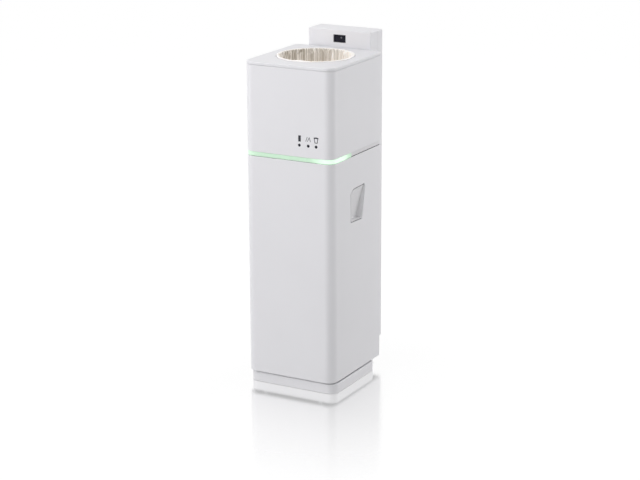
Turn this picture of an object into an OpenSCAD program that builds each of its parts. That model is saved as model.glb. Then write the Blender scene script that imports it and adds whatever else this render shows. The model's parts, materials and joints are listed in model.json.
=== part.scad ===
// Floor-standing automatic sealing waste bin with an odour-filter column behind it.
// The front looks along -Y, the floor is z = 0, and the origin is under the middle of the box.

/* [Body] */
// Width of the casing and the upper housing
body_w = 285; // [280:1:290]
// Depth of the casing and the upper housing
body_d = 309; // [307:1:312]
// Height of the lid's top surface
body_top = 956; // [952:1:962]
// Height of the casing's lower edge
body_bottom = 36; // [35:1:40]
// Radius of the two front vertical corners
front_r = 28; // [24:1:32]
// Radius of the two rear vertical corners
rear_r = 20; // [14:1:24]
// Wall of the moulded shells
wall = 3; // [2.5:0.5:3.5]

/* [Light band] */
// Height of the light band's middle
band_z = 690.5; // [688:0.5:692]
// Height of the groove that holds the band
band_h = 13; // [12:1:14]
// Depth of the groove
groove_in = 6; // [5:0.5:7]
// Distance from the front face to the band's ends
band_end = 114; // [60:1:200]

/* [Lid and opening] */
// Thickness of the lid plate
lid_t = 9; // [9:1:10]
// Distance from the front face to the opening's centre
throat_y = 165; // [163:1:167]
// Inner radius of the film ring
ring_in_r = 105; // [104:0.5:105]
// Outer radius of the film ring
ring_out_r = 112; // [111:0.5:112]

/* [Column] */
// Width of the rear column and its head
column_w = 206; // [204:1:210]
// Depth of the rear column
column_d = 74; // [72:1:80]
// Gap between the body and the column
column_gap = 1; // [1:0.5:2]
// Height of the column covers' lower edge
column_bottom = 66; // [60:1:80]
// Height of the head's top
head_top = 1007; // [1000:1:1020]
// Width of the sensor window
window_w = 40; // [30:1:50]
// Height of the sensor window
window_h = 23; // [18:1:26]
// Height of the sensor window's middle
window_z = 981; // [975:1:985]

/* [Base] */
// Width of the base
base_w = 284; // [276:1:285]
// Height of the base's top
base_h = 30; // [29:1:31]
// Distance from the front face to the base's front
base_front = 12; // [8:1:14]
// Distance from the front face to the base's rear
base_rear = 264; // [263:1:270]
// Height of the rubber feet
foot_h = 3; // [2:0.5:4]

/* [Waste drawer] */
// Width of the waste bucket
bucket_w = 230; // [220:1:232]
// Height of the bucket's rim
bucket_top = 655; // [600:1:670]
// Depth of the grip pockets at their lower end
grip_in = 20; // [16:1:21]

/* [Sealing unit] */
// Radius of the guide rods
rod_r = 5; // [4:0.5:6]
// Thickness of one jaw bar
jaw_t = 13.8; // [12:0.2:15]
// Height of the jaw bars
jaw_h = 40; // [30:1:40]
// Module of the pinion and the racks
gear_m = 1.4; // [1.4:0.1:1.4]
// Teeth of the pinion
gear_teeth = 20; // [20:2:20]

/* [Hidden] */
$fn = 64;

total_d = body_d + column_gap + column_d;
front_y = -total_d / 2;
gap = 0.4;

// Heights of the band groove, the casing, the housing and the deck
groove_low = band_z - band_h / 2;
groove_high = band_z + band_h / 2;
casing_top = groove_low;
deck_z = groove_high + 1;
deck_t = 4;
deck_top = deck_z + deck_t;
lid_z = body_top - lid_t;
housing_top = lid_z - gap;

// Lid hinge: the rear edge is round about the pivot
pivot_r = lid_t / 2;
pivot_y = body_d - pivot_r;
pivot_z = lid_z + pivot_r;
pin_r = 1.5;
running = 0.05;
ear_x = 65;
ear_w = 10;
lid_skin = 0.8;
ear_r = pivot_r - lid_skin - 0.4;
pin_len = 32;

// Column
column_y = body_d + column_gap;
column_end = column_y + column_d;
split_y = column_y + 42;
cover_wall = 2.5;
cover_r = 3;
frame_w = 192;
frame_t = 2;
frame_y = column_y + 3;
frame_flange = 32;
frame_top = 950;
tongue_w = 172;
tongue_end = frame_y + 59;
tongue_h = 21;
foot_plate_t = 3;
frame_z = tongue_h + foot_plate_t;
frame_screw_x = 60;
frame_screws_y = [frame_y + 15, frame_y + 43];
frame_screw_r = 3;
back_screw_x = 90;
back_screws_z = [100, 520, 940];
back_screw_r = 1.75;
back_head_r = 4;
arm_z = deck_top + 2;
arm_h = 30;
arm_x = 95;
arm_t = 2;

// Fan and filter
fan_z = 620;
fan_size = 120;
fan_y = column_y + 30;
fan_t = 32;
fan_r = 56;
hub_r = 19;
fan_pin_r = 2;
louvre_half = 48;
louvre_x = 50;
louvre_h = 5;

// Power entry
entry_z = 105;
inlet_x = -32;
inlet_w = 28;
inlet_h = 22;
switch_x = 32;
switch_w = 22;
switch_h = 14;
rocker_y = column_end - 5;
rocker_r = 1.5;
rocker_tilt = 10;

// Sealing unit
rod_x = 115;
rod_z = 755;
jaw_low = rod_z - jaw_h / 2;
jaw_high = rod_z + jaw_h / 2;
jaw_half = 126;
jaw_split = 0.6;
front_jaw_y = throat_y - jaw_split - jaw_t;
rear_jaw_y = throat_y + jaw_split + gap / 2;
end_plate_w = 260;
end_plate_t = 4;
end_plate_y = [62, 264];
end_plate_top = 789;
pinion_x = -118;
pitch_r = gear_m * gear_teeth / 2;
rack_z = jaw_high + 5;
rack_t = 6;
rack_body = 3.4;
tooth_pitch = PI * gear_m;
backlash = 0.3;
pressure = 20;
motor_r = 17;
motor_top = 850;
bracket_t = 3;

// Film path
plate_z = 881;
plate_t = 3;
cassette_r = 127;
cassette_top = 943;
ring_top = body_top + 1.5;
funnel_wall = 2.5;
funnel_low_z = 790;
funnel_low_r = 70;
post_x = 112;
posts_y = [53, 277];
post_r = 6;

// Waste drawer
floor_z = 62;
floor_t = 3;
rail_x = 86;
rail_h = 28;
rail_y = 16;
rail_len = 246;
rail_t = 1.5;
rail_w = 10;
rim_w = 260;

// Status display
icon_z = 751;
lens_z = 731.7;
lens_x = [37.5, 66, 91];
lens_r = 3.2;
inlay_t = 0.8;

// Everything is drawn with y = 0 on the front face and then moved
module from_front() {
    translate([0, front_y, 0]) children();
}

// Flat outline with round corners, from y0 to y1
module plan(w, y0, y1, rf, rr) {
    translate([-w / 2 + rf, y0]) square([w - 2 * rf, y1 - y0 - rr]);
    translate([-w / 2, y0 + rf]) square([w, y1 - y0 - rf - rr]);
    translate([-w / 2 + rr, y0 + rf]) square([w - 2 * rr, y1 - y0 - rf]);
    for (side = [-1, 1]) {
        translate([side * (w / 2 - rf), y0 + rf]) circle(rf);
        translate([side * (w / 2 - rr), y1 - rr]) circle(rr);
    }
}

// The body's outline, drawn in by a distance
module body_plan(inset) {
    plan(body_w - 2 * inset, inset, body_d - inset, front_r - inset, rear_r - inset);
}

// A ring that follows the body's outline
module body_ring(inset_out, inset_in, z0, z1) {
    translate([0, 0, z0]) linear_extrude(z1 - z0) difference() {
        body_plan(inset_out);
        body_plan(inset_in);
    }
}

// A box given by its limits
module limits(x0, x1, y0, y1, z0, z1) {
    translate([x0, y0, z0]) cube([x1 - x0, y1 - y0, z1 - z0]);
}

// A rod along X, centred on x, and a rod along Y from y0 to y1
module rod_along_x(x, y, z, r, len) {
    translate([x, y, z]) rotate([0, 90, 0]) cylinder(r = r, h = len, center = true);
}

module rod_along_y(x, z, r, y0, y1) {
    translate([x, y0, z]) rotate([-90, 0, 0]) cylinder(r = r, h = y1 - y0);
}

module both_sides() {
    children();
    mirror([1, 0, 0]) children();
}

// ---- Base ----

feet = [[-115, 38], [115, 38], [-115, 238], [115, 238], [-70, 350], [70, 350]];
foot_r = 14;
plug_r = 4;
plug_h = foot_h + 8;
base_wall = 4;
ballast_t = 8;
ballast_x = 95;
ballast_y = [30, 248];
screw_head_r = 5;
screw_head_h = 4;
screw_low = foot_h + 6;

module base_outline(inset) {
    plan(base_w - 2 * inset, base_front + inset, base_rear - inset, front_r - 2 - inset,
        rear_r - inset);
}

module base_plate() {
    color("white") from_front() difference() {
        union() {
            translate([0, 0, foot_h]) linear_extrude(base_h - foot_h) base_outline(0);
            translate([0, 0, foot_h]) linear_extrude(tongue_h - foot_h)
                plan(tongue_w, base_rear - 10, tongue_end, 2, 14);
        }
        difference() {
            translate([0, 0, foot_h - 1]) linear_extrude(base_h - foot_h + 1 - base_wall)
                base_outline(base_wall);
            for (f = feet) translate([f[0], f[1], 0])
                cylinder(r = foot_r + 2, h = base_h);
            limits(-tongue_w / 2, tongue_w / 2, base_rear - 10, base_rear, 0, tongue_h);
        }
        for (f = feet) translate([f[0], f[1], 0]) cylinder(r = plug_r + 0.1, h = plug_h + 0.1);
        frame_screw_holes(screw_low);
    }
}

module rubber_feet() {
    color("dimgray") from_front() for (f = feet) translate([f[0], f[1], 0]) {
        cylinder(r = foot_r, h = foot_h);
        cylinder(r = plug_r, h = plug_h);
    }
}

module ballast_plate() {
    color("slategray") from_front()
        limits(-ballast_x, ballast_x, ballast_y[0], ballast_y[1],
            base_h - base_wall - ballast_t, base_h - base_wall);
}

module frame_screw_holes(z0) {
    for (x = [-frame_screw_x, frame_screw_x]) for (y = frame_screws_y)
        translate([x, y, z0]) cylinder(r = frame_screw_r, h = frame_z - z0 + 1);
}

// ---- Drawer slides: three nested channels on each side ----

// Channel with its web outward, given by the two faces of its web and its inner edge
module channel(x_in, x_out, z0, z1, y0, len) {
    limits(x_out - rail_t, x_out, y0, y0 + len, z0, z1);
    limits(x_in, x_out, y0, y0 + len, z0, z0 + rail_t);
    limits(x_in, x_out, y0, y0 + len, z1 - rail_t, z1);
}

rail_step = 2.1;
rail_low = base_h + 2 * rail_step;
rail_high = base_h + rail_h - 2 * rail_step;
rail_lip = 5;

module fixed_rails() {
    color("silver") from_front() both_sides()
        channel(rail_x + 0.5, rail_x + rail_w, base_h, base_h + rail_h, rail_y, rail_len);
}

module middle_rails() {
    color("gainsboro") from_front() both_sides()
        channel(rail_x + 1, rail_x + rail_w - 2.5, base_h + rail_step,
            base_h + rail_h - rail_step, rail_y, rail_len);
}

module moving_rails() {
    color("silver") from_front() both_sides() difference() {
        union() {
            limits(rail_x, rail_x + rail_t, rail_y, rail_y + rail_len, rail_low, rail_high);
            for (z = [rail_low, rail_high - rail_t])
                limits(rail_x, rail_x + rail_lip, rail_y, rail_y + rail_len, z, z + rail_t);
        }
        rail_screw_shanks();
    }
}

rail_screws_y = [40, 130, 240];
rail_screw_z = base_h + rail_h / 2;
rail_screw_r = 2;
rail_head_r = 4;

module rail_screw_shanks() {
    for (y = rail_screws_y) rod_along_x(rail_x - 0.5, y, rail_screw_z, rail_screw_r, 4);
}

module rail_screws() {
    color("silver") from_front() both_sides() {
        rail_screw_shanks();
        for (y = rail_screws_y) rod_along_x(rail_x - 3.5, y, rail_screw_z, rail_head_r, 2);
    }
}

// The drawer is held shut by a magnet on the base and a steel angle on the casing floor
latch_y = 232;
latch_x = 18;
latch_plate_x = 16;
latch_plate_t = 1.6;

module latch_magnet() {
    color("darkgray") from_front() difference() {
        limits(-latch_x, latch_x, latch_y + gap, latch_y + 14, base_h, base_h + 22);
        limits(-latch_x + 8, latch_x - 8, latch_y - 1, latch_y + 3, base_h + 6, base_h + 10);
    }
}

module latch_plate() {
    color("silver") from_front() {
        limits(-latch_plate_x, latch_plate_x, latch_y - latch_plate_t, latch_y, base_h + 4,
            floor_z);
        limits(-latch_plate_x, latch_plate_x, latch_y - 14, latch_y - latch_plate_t,
            floor_z - latch_plate_t, floor_z);
    }
}

// ---- Waste drawer ----

// Grip outline on the side, as depth and height, drawn in about its middle
grip_mid = [152, 540];
grip_points = [[110, 491], [180, 488], [198, 581], [194, 590], [126, 588], [110, 577]];

module grip_outline(inset) {
    shrink = 1 - inset / 40;
    translate(grip_mid) scale(shrink) translate(-grip_mid) polygon(grip_points);
}

// Extrudes a side outline from x0 to x1
module through_side(x0, x1) {
    translate([x0, 0, 0]) rotate([90, 0, 90]) linear_extrude(x1 - x0) children();
}

module grip_holes() {
    both_sides() through_side(body_w / 2 - wall - 1, body_w / 2 + 1) grip_outline(0);
}

// The pocket's floor slopes: deep at the lower end, shallow at the upper end
grip_slope = 8;

module grip_hollow() {
    intersection() {
        through_side(body_w / 2 - grip_in, body_w / 2 + 1) grip_outline(2);
        translate([body_w / 2 - grip_in + 2, 60, 480]) rotate([0, grip_slope, 0])
            cube([60, 200, 140]);
    }
}

module grip_pockets() {
    color("gainsboro") from_front() both_sides() difference() {
        through_side(body_w / 2 - grip_in, body_w / 2 - 0.4) grip_outline(0);
        grip_hollow();
    }
}

// The rear wall is cut away over the tongue and has air slots in front of the filter
skirt_cut_x = 110;
vent_half = 45;

module casing_shell() {
    color("white") from_front() difference() {
        body_ring(0, wall, body_bottom, casing_top);
        limits(-skirt_cut_x, skirt_cut_x, body_d - wall - 1, body_d + 1, body_bottom - 1, floor_z);
        grip_holes();
        for (x = [-vent_half : 15 : vent_half]) limits(x - 3, x + 3, body_d - wall - 1,
            body_d + 1, fan_z - vent_half, fan_z + vent_half);
    }
}

module casing_floor() {
    color("lightgray") from_front() {
        translate([0, 0, floor_z]) linear_extrude(floor_t) body_plan(wall);
        both_sides() difference() {
            limits(rail_x - 2.5, rail_x, rail_y + 4, rail_y + rail_len - 4, base_h + 5, floor_z);
            rail_screw_shanks();
        }
    }
}

module waste_bucket() {
    bucket_z = floor_z + floor_t;
    bucket_y = [24, 285];
    rim_y = [10, 299];
    bucket_wall = 2.5;
    bucket_r = 30;
    rim_r = 36;
    color("slategray") from_front() difference() {
        union() {
            translate([0, 0, bucket_z]) linear_extrude(bucket_top - bucket_z)
                plan(bucket_w, bucket_y[0], bucket_y[1], bucket_r, bucket_r);
            translate([0, 0, bucket_top - 4]) linear_extrude(4)
                plan(rim_w, rim_y[0], rim_y[1], rim_r, rim_r);
        }
        translate([0, 0, bucket_z + floor_t]) linear_extrude(bucket_top - bucket_z)
            plan(bucket_w - 2 * bucket_wall, bucket_y[0] + bucket_wall,
                bucket_y[1] - bucket_wall, bucket_r - bucket_wall, bucket_r - bucket_wall);
    }
}

// ---- Column ----

module column_frame() {
    color("silver") from_front() difference() {
        union() {
            limits(-frame_w / 2, frame_w / 2, frame_y, frame_y + frame_t, frame_z, frame_top);
            both_sides() limits(frame_w / 2 - frame_t, frame_w / 2, frame_y,
                frame_y + frame_flange, frame_z, frame_top);
            limits(-tongue_w / 2, tongue_w / 2, frame_y, tongue_end - 4, tongue_h, frame_z);
            both_sides() limits(arm_x - arm_t, arm_x, end_plate_y[1] + end_plate_t,
                frame_y, arm_z, arm_z + arm_h);
            for (z = back_screws_z) both_sides() limits(back_screw_x - 6, frame_w / 2,
                frame_y + frame_flange - frame_t, frame_y + frame_flange, z - 8, z + 8);
        }
        rod_along_y(0, fan_z, fan_r, frame_y - 1, frame_y + frame_t + 1);
        frame_screw_holes(0);
        back_screw_holes(back_screw_r);
    }
}

module frame_screws() {
    socket_r = 2.5;
    color("dimgray") from_front()
        for (x = [-frame_screw_x, frame_screw_x]) for (y = frame_screws_y) translate([x, y, 0]) {
            translate([0, 0, screw_low]) cylinder(r = frame_screw_r, h = frame_z - screw_low);
            translate([0, 0, frame_z]) difference() {
                cylinder(r = screw_head_r, h = screw_head_h);
                translate([0, 0, screw_head_h / 2]) cylinder(r = socket_r, h = 3, $fn = 6);
            }
        }
}

module back_screw_holes(r) {
    for (z = back_screws_z) both_sides() rod_along_y(back_screw_x, z, r, split_y - 12, column_end + 1);
}

// Column outline, drawn in by a distance; the edge radius stays small
module column_box(inset, y0, y1, z0, z1) {
    translate([0, 0, z0]) linear_extrude(z1 - z0)
        plan(column_w - 2 * inset, y0, y1, cover_r, cover_r);
}

module column_shell() {
    color("white") from_front() difference() {
        intersection() {
            column_box(0, column_y, column_end, column_bottom, head_top);
            limits(-column_w, column_w, 0, split_y, 0, head_top + 1);
        }
        column_box(cover_wall, column_y + cover_wall, column_end, column_bottom + cover_wall,
            head_top - cover_wall);
        limits(-window_w / 2, window_w / 2, 0, split_y, window_z - window_h / 2,
            window_z + window_h / 2);
        limits(-frame_w / 2 - 1, frame_w / 2 + 1, frame_y - 1, split_y + 1, 0, column_bottom + 5);
        both_sides() limits(arm_x - arm_t - 1, arm_x + 1, 0, frame_y, arm_z - 1,
            arm_z + arm_h + 1);
        rod_along_y(0, fan_z, fan_r, 0, frame_y);
    }
}

module column_back() {
    boss_y = split_y - 5;
    color("white") from_front() difference() {
        union() {
            difference() {
                intersection() {
                    column_box(0, column_y, column_end, column_bottom, head_top);
                    limits(-column_w, column_w, split_y + gap, column_end, 0, head_top + 1);
                }
                column_box(cover_wall, column_y, column_end - cover_wall,
                    column_bottom + cover_wall, head_top - cover_wall);
            }
            for (z = back_screws_z) both_sides()
                rod_along_y(back_screw_x, z, 5, boss_y, column_end - cover_wall);
        }
        back_screw_holes(back_screw_r);
        for (z = back_screws_z) both_sides()
            rod_along_y(back_screw_x, z, back_head_r, column_end - 2, column_end + 1);
        for (z = [fan_z - louvre_half : 12 : fan_z + louvre_half])
            limits(-louvre_x, louvre_x, column_end - cover_wall - 1, column_end + 1,
                z - louvre_h / 2, z + louvre_h / 2);
        limits(inlet_x - inlet_w / 2, inlet_x + inlet_w / 2, column_end - 4, column_end + 1,
            entry_z - inlet_h / 2, entry_z + inlet_h / 2);
        limits(switch_x - switch_w / 2, switch_x + switch_w / 2, column_end - 4, column_end + 1,
            entry_z - switch_h / 2 - 2, entry_z + switch_h / 2 + 2);
    }
}

module back_screws() {
    color("dimgray") from_front() for (z = back_screws_z) both_sides() {
        rod_along_y(back_screw_x, z, back_screw_r, split_y - 11, column_end - 2);
        difference() {
            rod_along_y(back_screw_x, z, back_head_r, column_end - 2, column_end - 0.3);
            limits(back_screw_x - 2.5, back_screw_x + 2.5, column_end - 1.5, column_end, z - 0.5,
                z + 0.5);
            limits(back_screw_x - 0.5, back_screw_x + 0.5, column_end - 1.5, column_end, z - 2.5,
                z + 2.5);
        }
    }
}

module sensor_bezel() {
    color("gainsboro") from_front() difference() {
        limits(-window_w / 2, window_w / 2, column_y + 0.4, column_y + 7,
            window_z - window_h / 2, window_z + window_h / 2);
        limits(-window_w / 2 + 1, window_w / 2 - 1, column_y - 1, column_y + 8,
            window_z - window_h / 2 + 1, window_z + window_h / 2 - 1);
    }
}

module sensor_window() {
    color([0.05, 0.05, 0.07, 0.8]) from_front() limits(-window_w / 2 + 1, window_w / 2 - 1,
        column_y + 4, column_y + 6, window_z - window_h / 2 + 1, window_z + window_h / 2 - 1);
}

module sensor_board() {
    color("darkgreen") from_front() {
        limits(-26, 26, column_y + 13, column_y + 14.6, window_z - 15, window_z + 15);
        for (x = [-8, 8]) rod_along_y(x, window_z, 2.5, column_y + 6.6, column_y + 13);
        for (x = [-22, 22]) rod_along_y(x, window_z + 11, 2, column_y + cover_wall, column_y + 13);
    }
}

module power_inlet() {
    color("black") from_front() {
        difference() {
            limits(inlet_x - inlet_w / 2, inlet_x + inlet_w / 2, column_end - 22, column_end - 0.5,
                entry_z - inlet_h / 2, entry_z + inlet_h / 2);
            limits(inlet_x - inlet_w / 2 + 2, inlet_x + inlet_w / 2 - 2, column_end - 18,
                column_end + 1, entry_z - inlet_h / 2 + 2.5, entry_z + inlet_h / 2 - 2.5);
        }
        for (x = [-7, 0, 7]) limits(inlet_x + x - 1, inlet_x + x + 1, column_end - 19,
            column_end - 5, entry_z - 2 + abs(x) / 7 * 2 - 2, entry_z + abs(x) / 7 * 2);
    }
}

module switch_housing() {
    color("black") from_front() difference() {
        limits(switch_x - switch_w / 2, switch_x + switch_w / 2, column_end - 22,
            column_end - 0.5, entry_z - switch_h / 2 - 2, entry_z + switch_h / 2 + 2);
        limits(switch_x - switch_w / 2 + 2, switch_x + switch_w / 2 - 2, column_end - 18,
            column_end + 1, entry_z - switch_h / 2, entry_z + switch_h / 2);
        rod_along_x(switch_x, rocker_y, entry_z, rocker_r + running, switch_w - 2);
    }
}

module power_rocker() {
    color("darkgreen") from_front() {
        rod_along_x(switch_x, rocker_y, entry_z, rocker_r, switch_w - 2.4);
        translate([switch_x, rocker_y, entry_z]) rotate([rocker_tilt, 0, 0])
            rotate([90, 0, 90]) linear_extrude(switch_w - 5, center = true)
                polygon([[-4, -3], [-4, 3], [3, 5.2], [1.6, 0], [3, -5.2]]);
    }
}

module power_supply() {
    box_x = 70;
    box_z = [180, 320];
    box_end = frame_y + 38;
    color("silver") from_front() difference() {
        limits(-box_x, box_x, frame_y + frame_t, box_end, box_z[0], box_z[1]);
        for (z = [box_z[0] + 20 : 10 : box_z[1] - 20])
            limits(-box_x + 20, box_x - 20, box_end - 2, box_end + 1, z, z + 4);
    }
}

module control_board() {
    board_x = 60;
    board_z = [760, 880];
    board_y = frame_y + 12;
    top_y = board_y + 1.6;
    post_in = 6;
    color("darkgreen") from_front() {
        for (x = [-board_x + post_in, board_x - post_in])
            for (z = [board_z[0] + post_in, board_z[1] - post_in])
                rod_along_y(x, z, 3, frame_y + frame_t, board_y);
        limits(-board_x, board_x, board_y, top_y, board_z[0], board_z[1]);
        // processor, capacitors, relay and two rows of connectors
        limits(-20, 10, top_y, top_y + 2.4, board_z[0] + 50, board_z[0] + 80);
        for (x = [-45, -30, 30]) rod_along_y(x, board_z[0] + 20, 6, top_y, top_y + 18);
        limits(25, 50, top_y, top_y + 12, board_z[0] + 40, board_z[0] + 70);
        for (z = [board_z[1] - 30, board_z[1] - 16])
            limits(-40, 40, top_y, top_y + 8, z, z + 7);
    }
}

module carbon_filter() {
    cell_end = 48;
    color("dimgray") from_front() difference() {
        limits(-fan_size / 2, fan_size / 2, frame_y + 5, frame_y + 24, fan_z - fan_size / 2,
            fan_z + fan_size / 2);
        for (x = [-cell_end : 12 : cell_end]) for (z = [-cell_end : 12 : cell_end])
            limits(x - 4, x + 4, frame_y, frame_y + 12, fan_z + z - 4, fan_z + z + 4);
    }
}

// The fan's square frame as a flat outline, with its bore and screw holes
module fan_frame_outline() {
    difference() {
        square(fan_size, center = true);
        circle(fan_r);
        for (x = [-52, 52]) for (z = [-52, 52]) translate([x, z]) circle(2.2);
    }
}

module fan_housing() {
    spider_t = 4;
    color("black") from_front() translate([0, fan_y, fan_z]) rotate([-90, 0, 0]) {
        linear_extrude(fan_t - spider_t) fan_frame_outline();
        translate([0, 0, fan_t - spider_t]) linear_extrude(spider_t) {
            fan_frame_outline();
            circle(hub_r);
            for (turn = [30 : 120 : 270]) rotate(turn)
                translate([hub_r - 2, -3]) square([fan_r - hub_r + 3, 6]);
        }
        translate([0, 0, 6]) cylinder(r = fan_pin_r, h = fan_t - spider_t - 5);
    }
}

module fan_impeller() {
    blades = 7;
    color("dimgray") from_front() translate([0, fan_y + 4, fan_z]) difference() {
        union() {
            rotate([-90, 0, 0]) cylinder(r = hub_r, h = 22);
            for (k = [0 : blades - 1]) rotate([0, k * 360 / blades, 0])
                translate([hub_r - 2, 11, 0]) rotate([40, 0, 0])
                    translate([0, -12, -1]) cube([fan_r - hub_r - 1, 24, 2]);
        }
        rotate([-90, 0, 0]) translate([0, 0, 1]) cylinder(r = fan_pin_r + running, h = 30);
    }
}

// ---- Upper housing ----

module upper_housing() {
    color("white") from_front() difference() {
        body_ring(0, wall, groove_high, housing_top);
        both_sides() limits(arm_x - arm_t - 1, arm_x + 1, body_d - wall - 1, body_d + 1,
            arm_z - 1, arm_z + arm_h + 1);
        for (x = lens_x) rod_along_y(x, lens_z, lens_r, -1, wall + 1);
        icon_shapes(-1, inlay_t);
    }
}

module deck_plate() {
    chute_r = 95;
    color("silver") from_front() translate([0, 0, deck_z]) linear_extrude(deck_t) difference() {
        body_plan(wall);
        translate([0, throat_y]) circle(chute_r);
    }
}

module band_carrier() {
    color("gray") from_front() body_ring(groove_in, groove_in + 8, groove_low + 0.6, deck_z);
}

// The part of a body ring that lies in front of the band's ends
module band_part(inset_out, inset_in, z0, z1) {
    intersection() {
        body_ring(inset_out, inset_in, z0, z1);
        limits(-body_w, body_w, -10, band_end, z0 - 1, z1 + 1);
    }
}

module light_band() {
    color("palegreen") from_front()
        band_part(0.4, groove_in - 1, groove_low + 0.8, groove_high - 0.2);
}

module led_strip() {
    color("honeydew") from_front()
        band_part(groove_in - 0.9, groove_in - 0.1, groove_low + 2, groove_high - 2);
}

// Three pictograms: a bar, a fold of film and a bin
module icon_shapes(y0, y1) {
    bar_w = 5;
    bar_h = 16.5;
    line_t = 1.1;
    rotate([90, 0, 0]) translate([0, icon_z, -y1]) linear_extrude(y1 - y0) {
        translate([lens_x[0] + 0.7 - bar_w / 2, -bar_h / 2]) square([bar_w, bar_h]);
        for (lean = [-1, 1]) translate([lens_x[1] + lean * 2.6, 0]) rotate(lean * 24)
            translate([-line_t / 2, -6.5]) square([line_t, 13]);
        translate([lens_x[1] + 5.6, -5]) square([line_t, 6]);
        translate([lens_x[2], 0]) difference() {
            polygon([[-5.6, 5], [5.6, 5], [3.9, -8], [-3.9, -8]]);
            polygon([[-4.4, 3.4], [4.4, 3.4], [3, -6.8], [-3, -6.8]]);
        }
        translate([lens_x[2] - 6.6, 5]) square([13.2, 1.6]);
        translate([lens_x[2] - 2.4, 6.6]) square([4.8, 1.6]);
    }
}

module status_icons() {
    color("black") from_front() icon_shapes(0.05, inlay_t);
}

module indicator_lenses() {
    color("black") from_front() for (x = lens_x) rod_along_y(x, lens_z, lens_r, 0.1, wall + 1);
}

module display_board() {
    color("darkgreen") from_front() {
        limits(24, 108, wall + 4, wall + 5.6, 722, 770);
        for (x = lens_x) rod_along_y(x, lens_z, 2.4, wall + 1.4, wall + 4);
        limits(40, 90, wall + 5.6, wall + 10, 742, 756);
    }
}

// ---- Film path ----

module throat_funnel() {
    color("whitesmoke") from_front() {
        translate([0, 0, plate_z]) linear_extrude(plate_t) difference() {
            plan(2 * cassette_r + 2, throat_y - 128, throat_y + 128, 20, 20);
            translate([0, throat_y]) circle(ring_in_r + 1);
        }
        translate([0, throat_y, 0]) rotate_extrude() polygon([
            [ring_in_r + 1, plate_z], [ring_in_r + 1 + funnel_wall, plate_z],
            [funnel_low_r + funnel_wall, funnel_low_z], [funnel_low_r, funnel_low_z]
        ]);
    }
}

module funnel_posts() {
    color("silver") from_front() for (y = posts_y) both_sides()
        translate([post_x, y, deck_top]) cylinder(r = post_r, h = plate_z - deck_top);
}

module film_cassette() {
    color("ghostwhite") from_front() translate([0, throat_y, 0]) rotate_extrude() polygon([
        [ring_in_r + 1, plate_z + plate_t], [cassette_r, plate_z + plate_t],
        [cassette_r, cassette_top - 4], [cassette_r - 4, cassette_top],
        [ring_in_r + 1, cassette_top]
    ]);
}

module film_ring() {
    mid_r = (ring_in_r + ring_out_r) / 2;
    color("white") from_front() translate([0, throat_y, 0]) rotate_extrude() {
        translate([ring_in_r + 0.5, cassette_top])
            square([ring_out_r - ring_in_r - 0.5, ring_top - cassette_top - 3]);
        translate([mid_r + 0.25, ring_top - 3.25]) circle((ring_out_r - ring_in_r) / 2 - 0.25);
    }
}

// Film pouch: straight in the ring and cassette, then a cone that closes over the jaws
module film_liner() {
    film_r = ring_in_r - 0.6;
    film_t = 0.9;
    neck_r = funnel_low_r - 1.6;
    closed_z = jaw_high + 5;
    closed_r = 6;
    color("ivory") from_front() translate([0, throat_y, 0]) rotate_extrude() polygon([
        [film_r, ring_top + 1], [film_r, plate_z + plate_t], [neck_r, funnel_low_z],
        [closed_r, closed_z], [0, closed_z], [0, closed_z + 1], [closed_r, closed_z + 1],
        [neck_r - film_t - 0.2, funnel_low_z + 1],
        [film_r - film_t, plate_z + plate_t + 0.3], [film_r - film_t, ring_top + 1]
    ]);
}

// ---- Sealing unit ----

module seal_end_plates() {
    cut_x = 80;
    color("silver") from_front() for (y = end_plate_y) difference() {
        limits(-end_plate_w / 2, end_plate_w / 2, y, y + end_plate_t, deck_top, end_plate_top);
        for (x = [-rod_x, rod_x]) rod_along_y(x, rod_z, rod_r, y - 1, y + end_plate_t + 1);
        limits(-cut_x, cut_x, y - 1, y + end_plate_t + 1, deck_top + 20, end_plate_top + 1);
    }
}

module guide_rods() {
    color("lightsteelblue") from_front() both_sides()
        rod_along_y(rod_x, rod_z, rod_r, end_plate_y[0], end_plate_y[1] + end_plate_t);
}

module jaw_bar(y0) {
    difference() {
        limits(-jaw_half, jaw_half, y0, y0 + jaw_t, jaw_low, jaw_high);
        both_sides() rod_along_y(rod_x, rod_z, rod_r + running, y0 - 1, y0 + jaw_t + 1);
    }
}

module front_jaw() {
    color("lightgray") from_front() jaw_bar(front_jaw_y);
}

module rear_jaw() {
    color("lightgray") from_front() jaw_bar(rear_jaw_y);
}

// The sealing strips face each other between the jaws
seal_x = 95;

module heater_strip() {
    y0 = front_jaw_y + jaw_t;
    color("peru") from_front() limits(-seal_x, seal_x, y0, y0 + 0.4, rod_z - 3, rod_z + 3);
}

module press_rubber() {
    color("firebrick") from_front()
        limits(-seal_x, seal_x, rear_jaw_y - 0.6, rear_jaw_y, rod_z - 7, rod_z + 7);
}

// Straight rack tooth, its root at x = 0 and pointing along +X
module rack_tooth() {
    half = tooth_pitch / 4 - backlash / 2;
    lean = tan(pressure) * gear_m;
    polygon([
        [-0.1, -half - 1.25 * lean], [0, -half - 1.25 * lean], [2.25 * gear_m, -half + lean],
        [2.25 * gear_m, half - lean], [0, half + 1.25 * lean], [-0.1, half + 1.25 * lean]
    ]);
}

// Rack along Y with a tooth gap at y = 0, its pitch line on x = 0 and its teeth along +X
module rack(teeth_back, teeth_ahead) {
    root = -1.25 * gear_m;
    low = -(teeth_back + 0.2) * tooth_pitch;
    high = (teeth_ahead + 0.2) * tooth_pitch;
    linear_extrude(rack_t) {
        translate([root - rack_body, low]) square([rack_body, high - low]);
        for (k = [-teeth_back : teeth_ahead - 1])
            translate([root, (k + 0.5) * tooth_pitch]) rack_tooth();
    }
}

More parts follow.
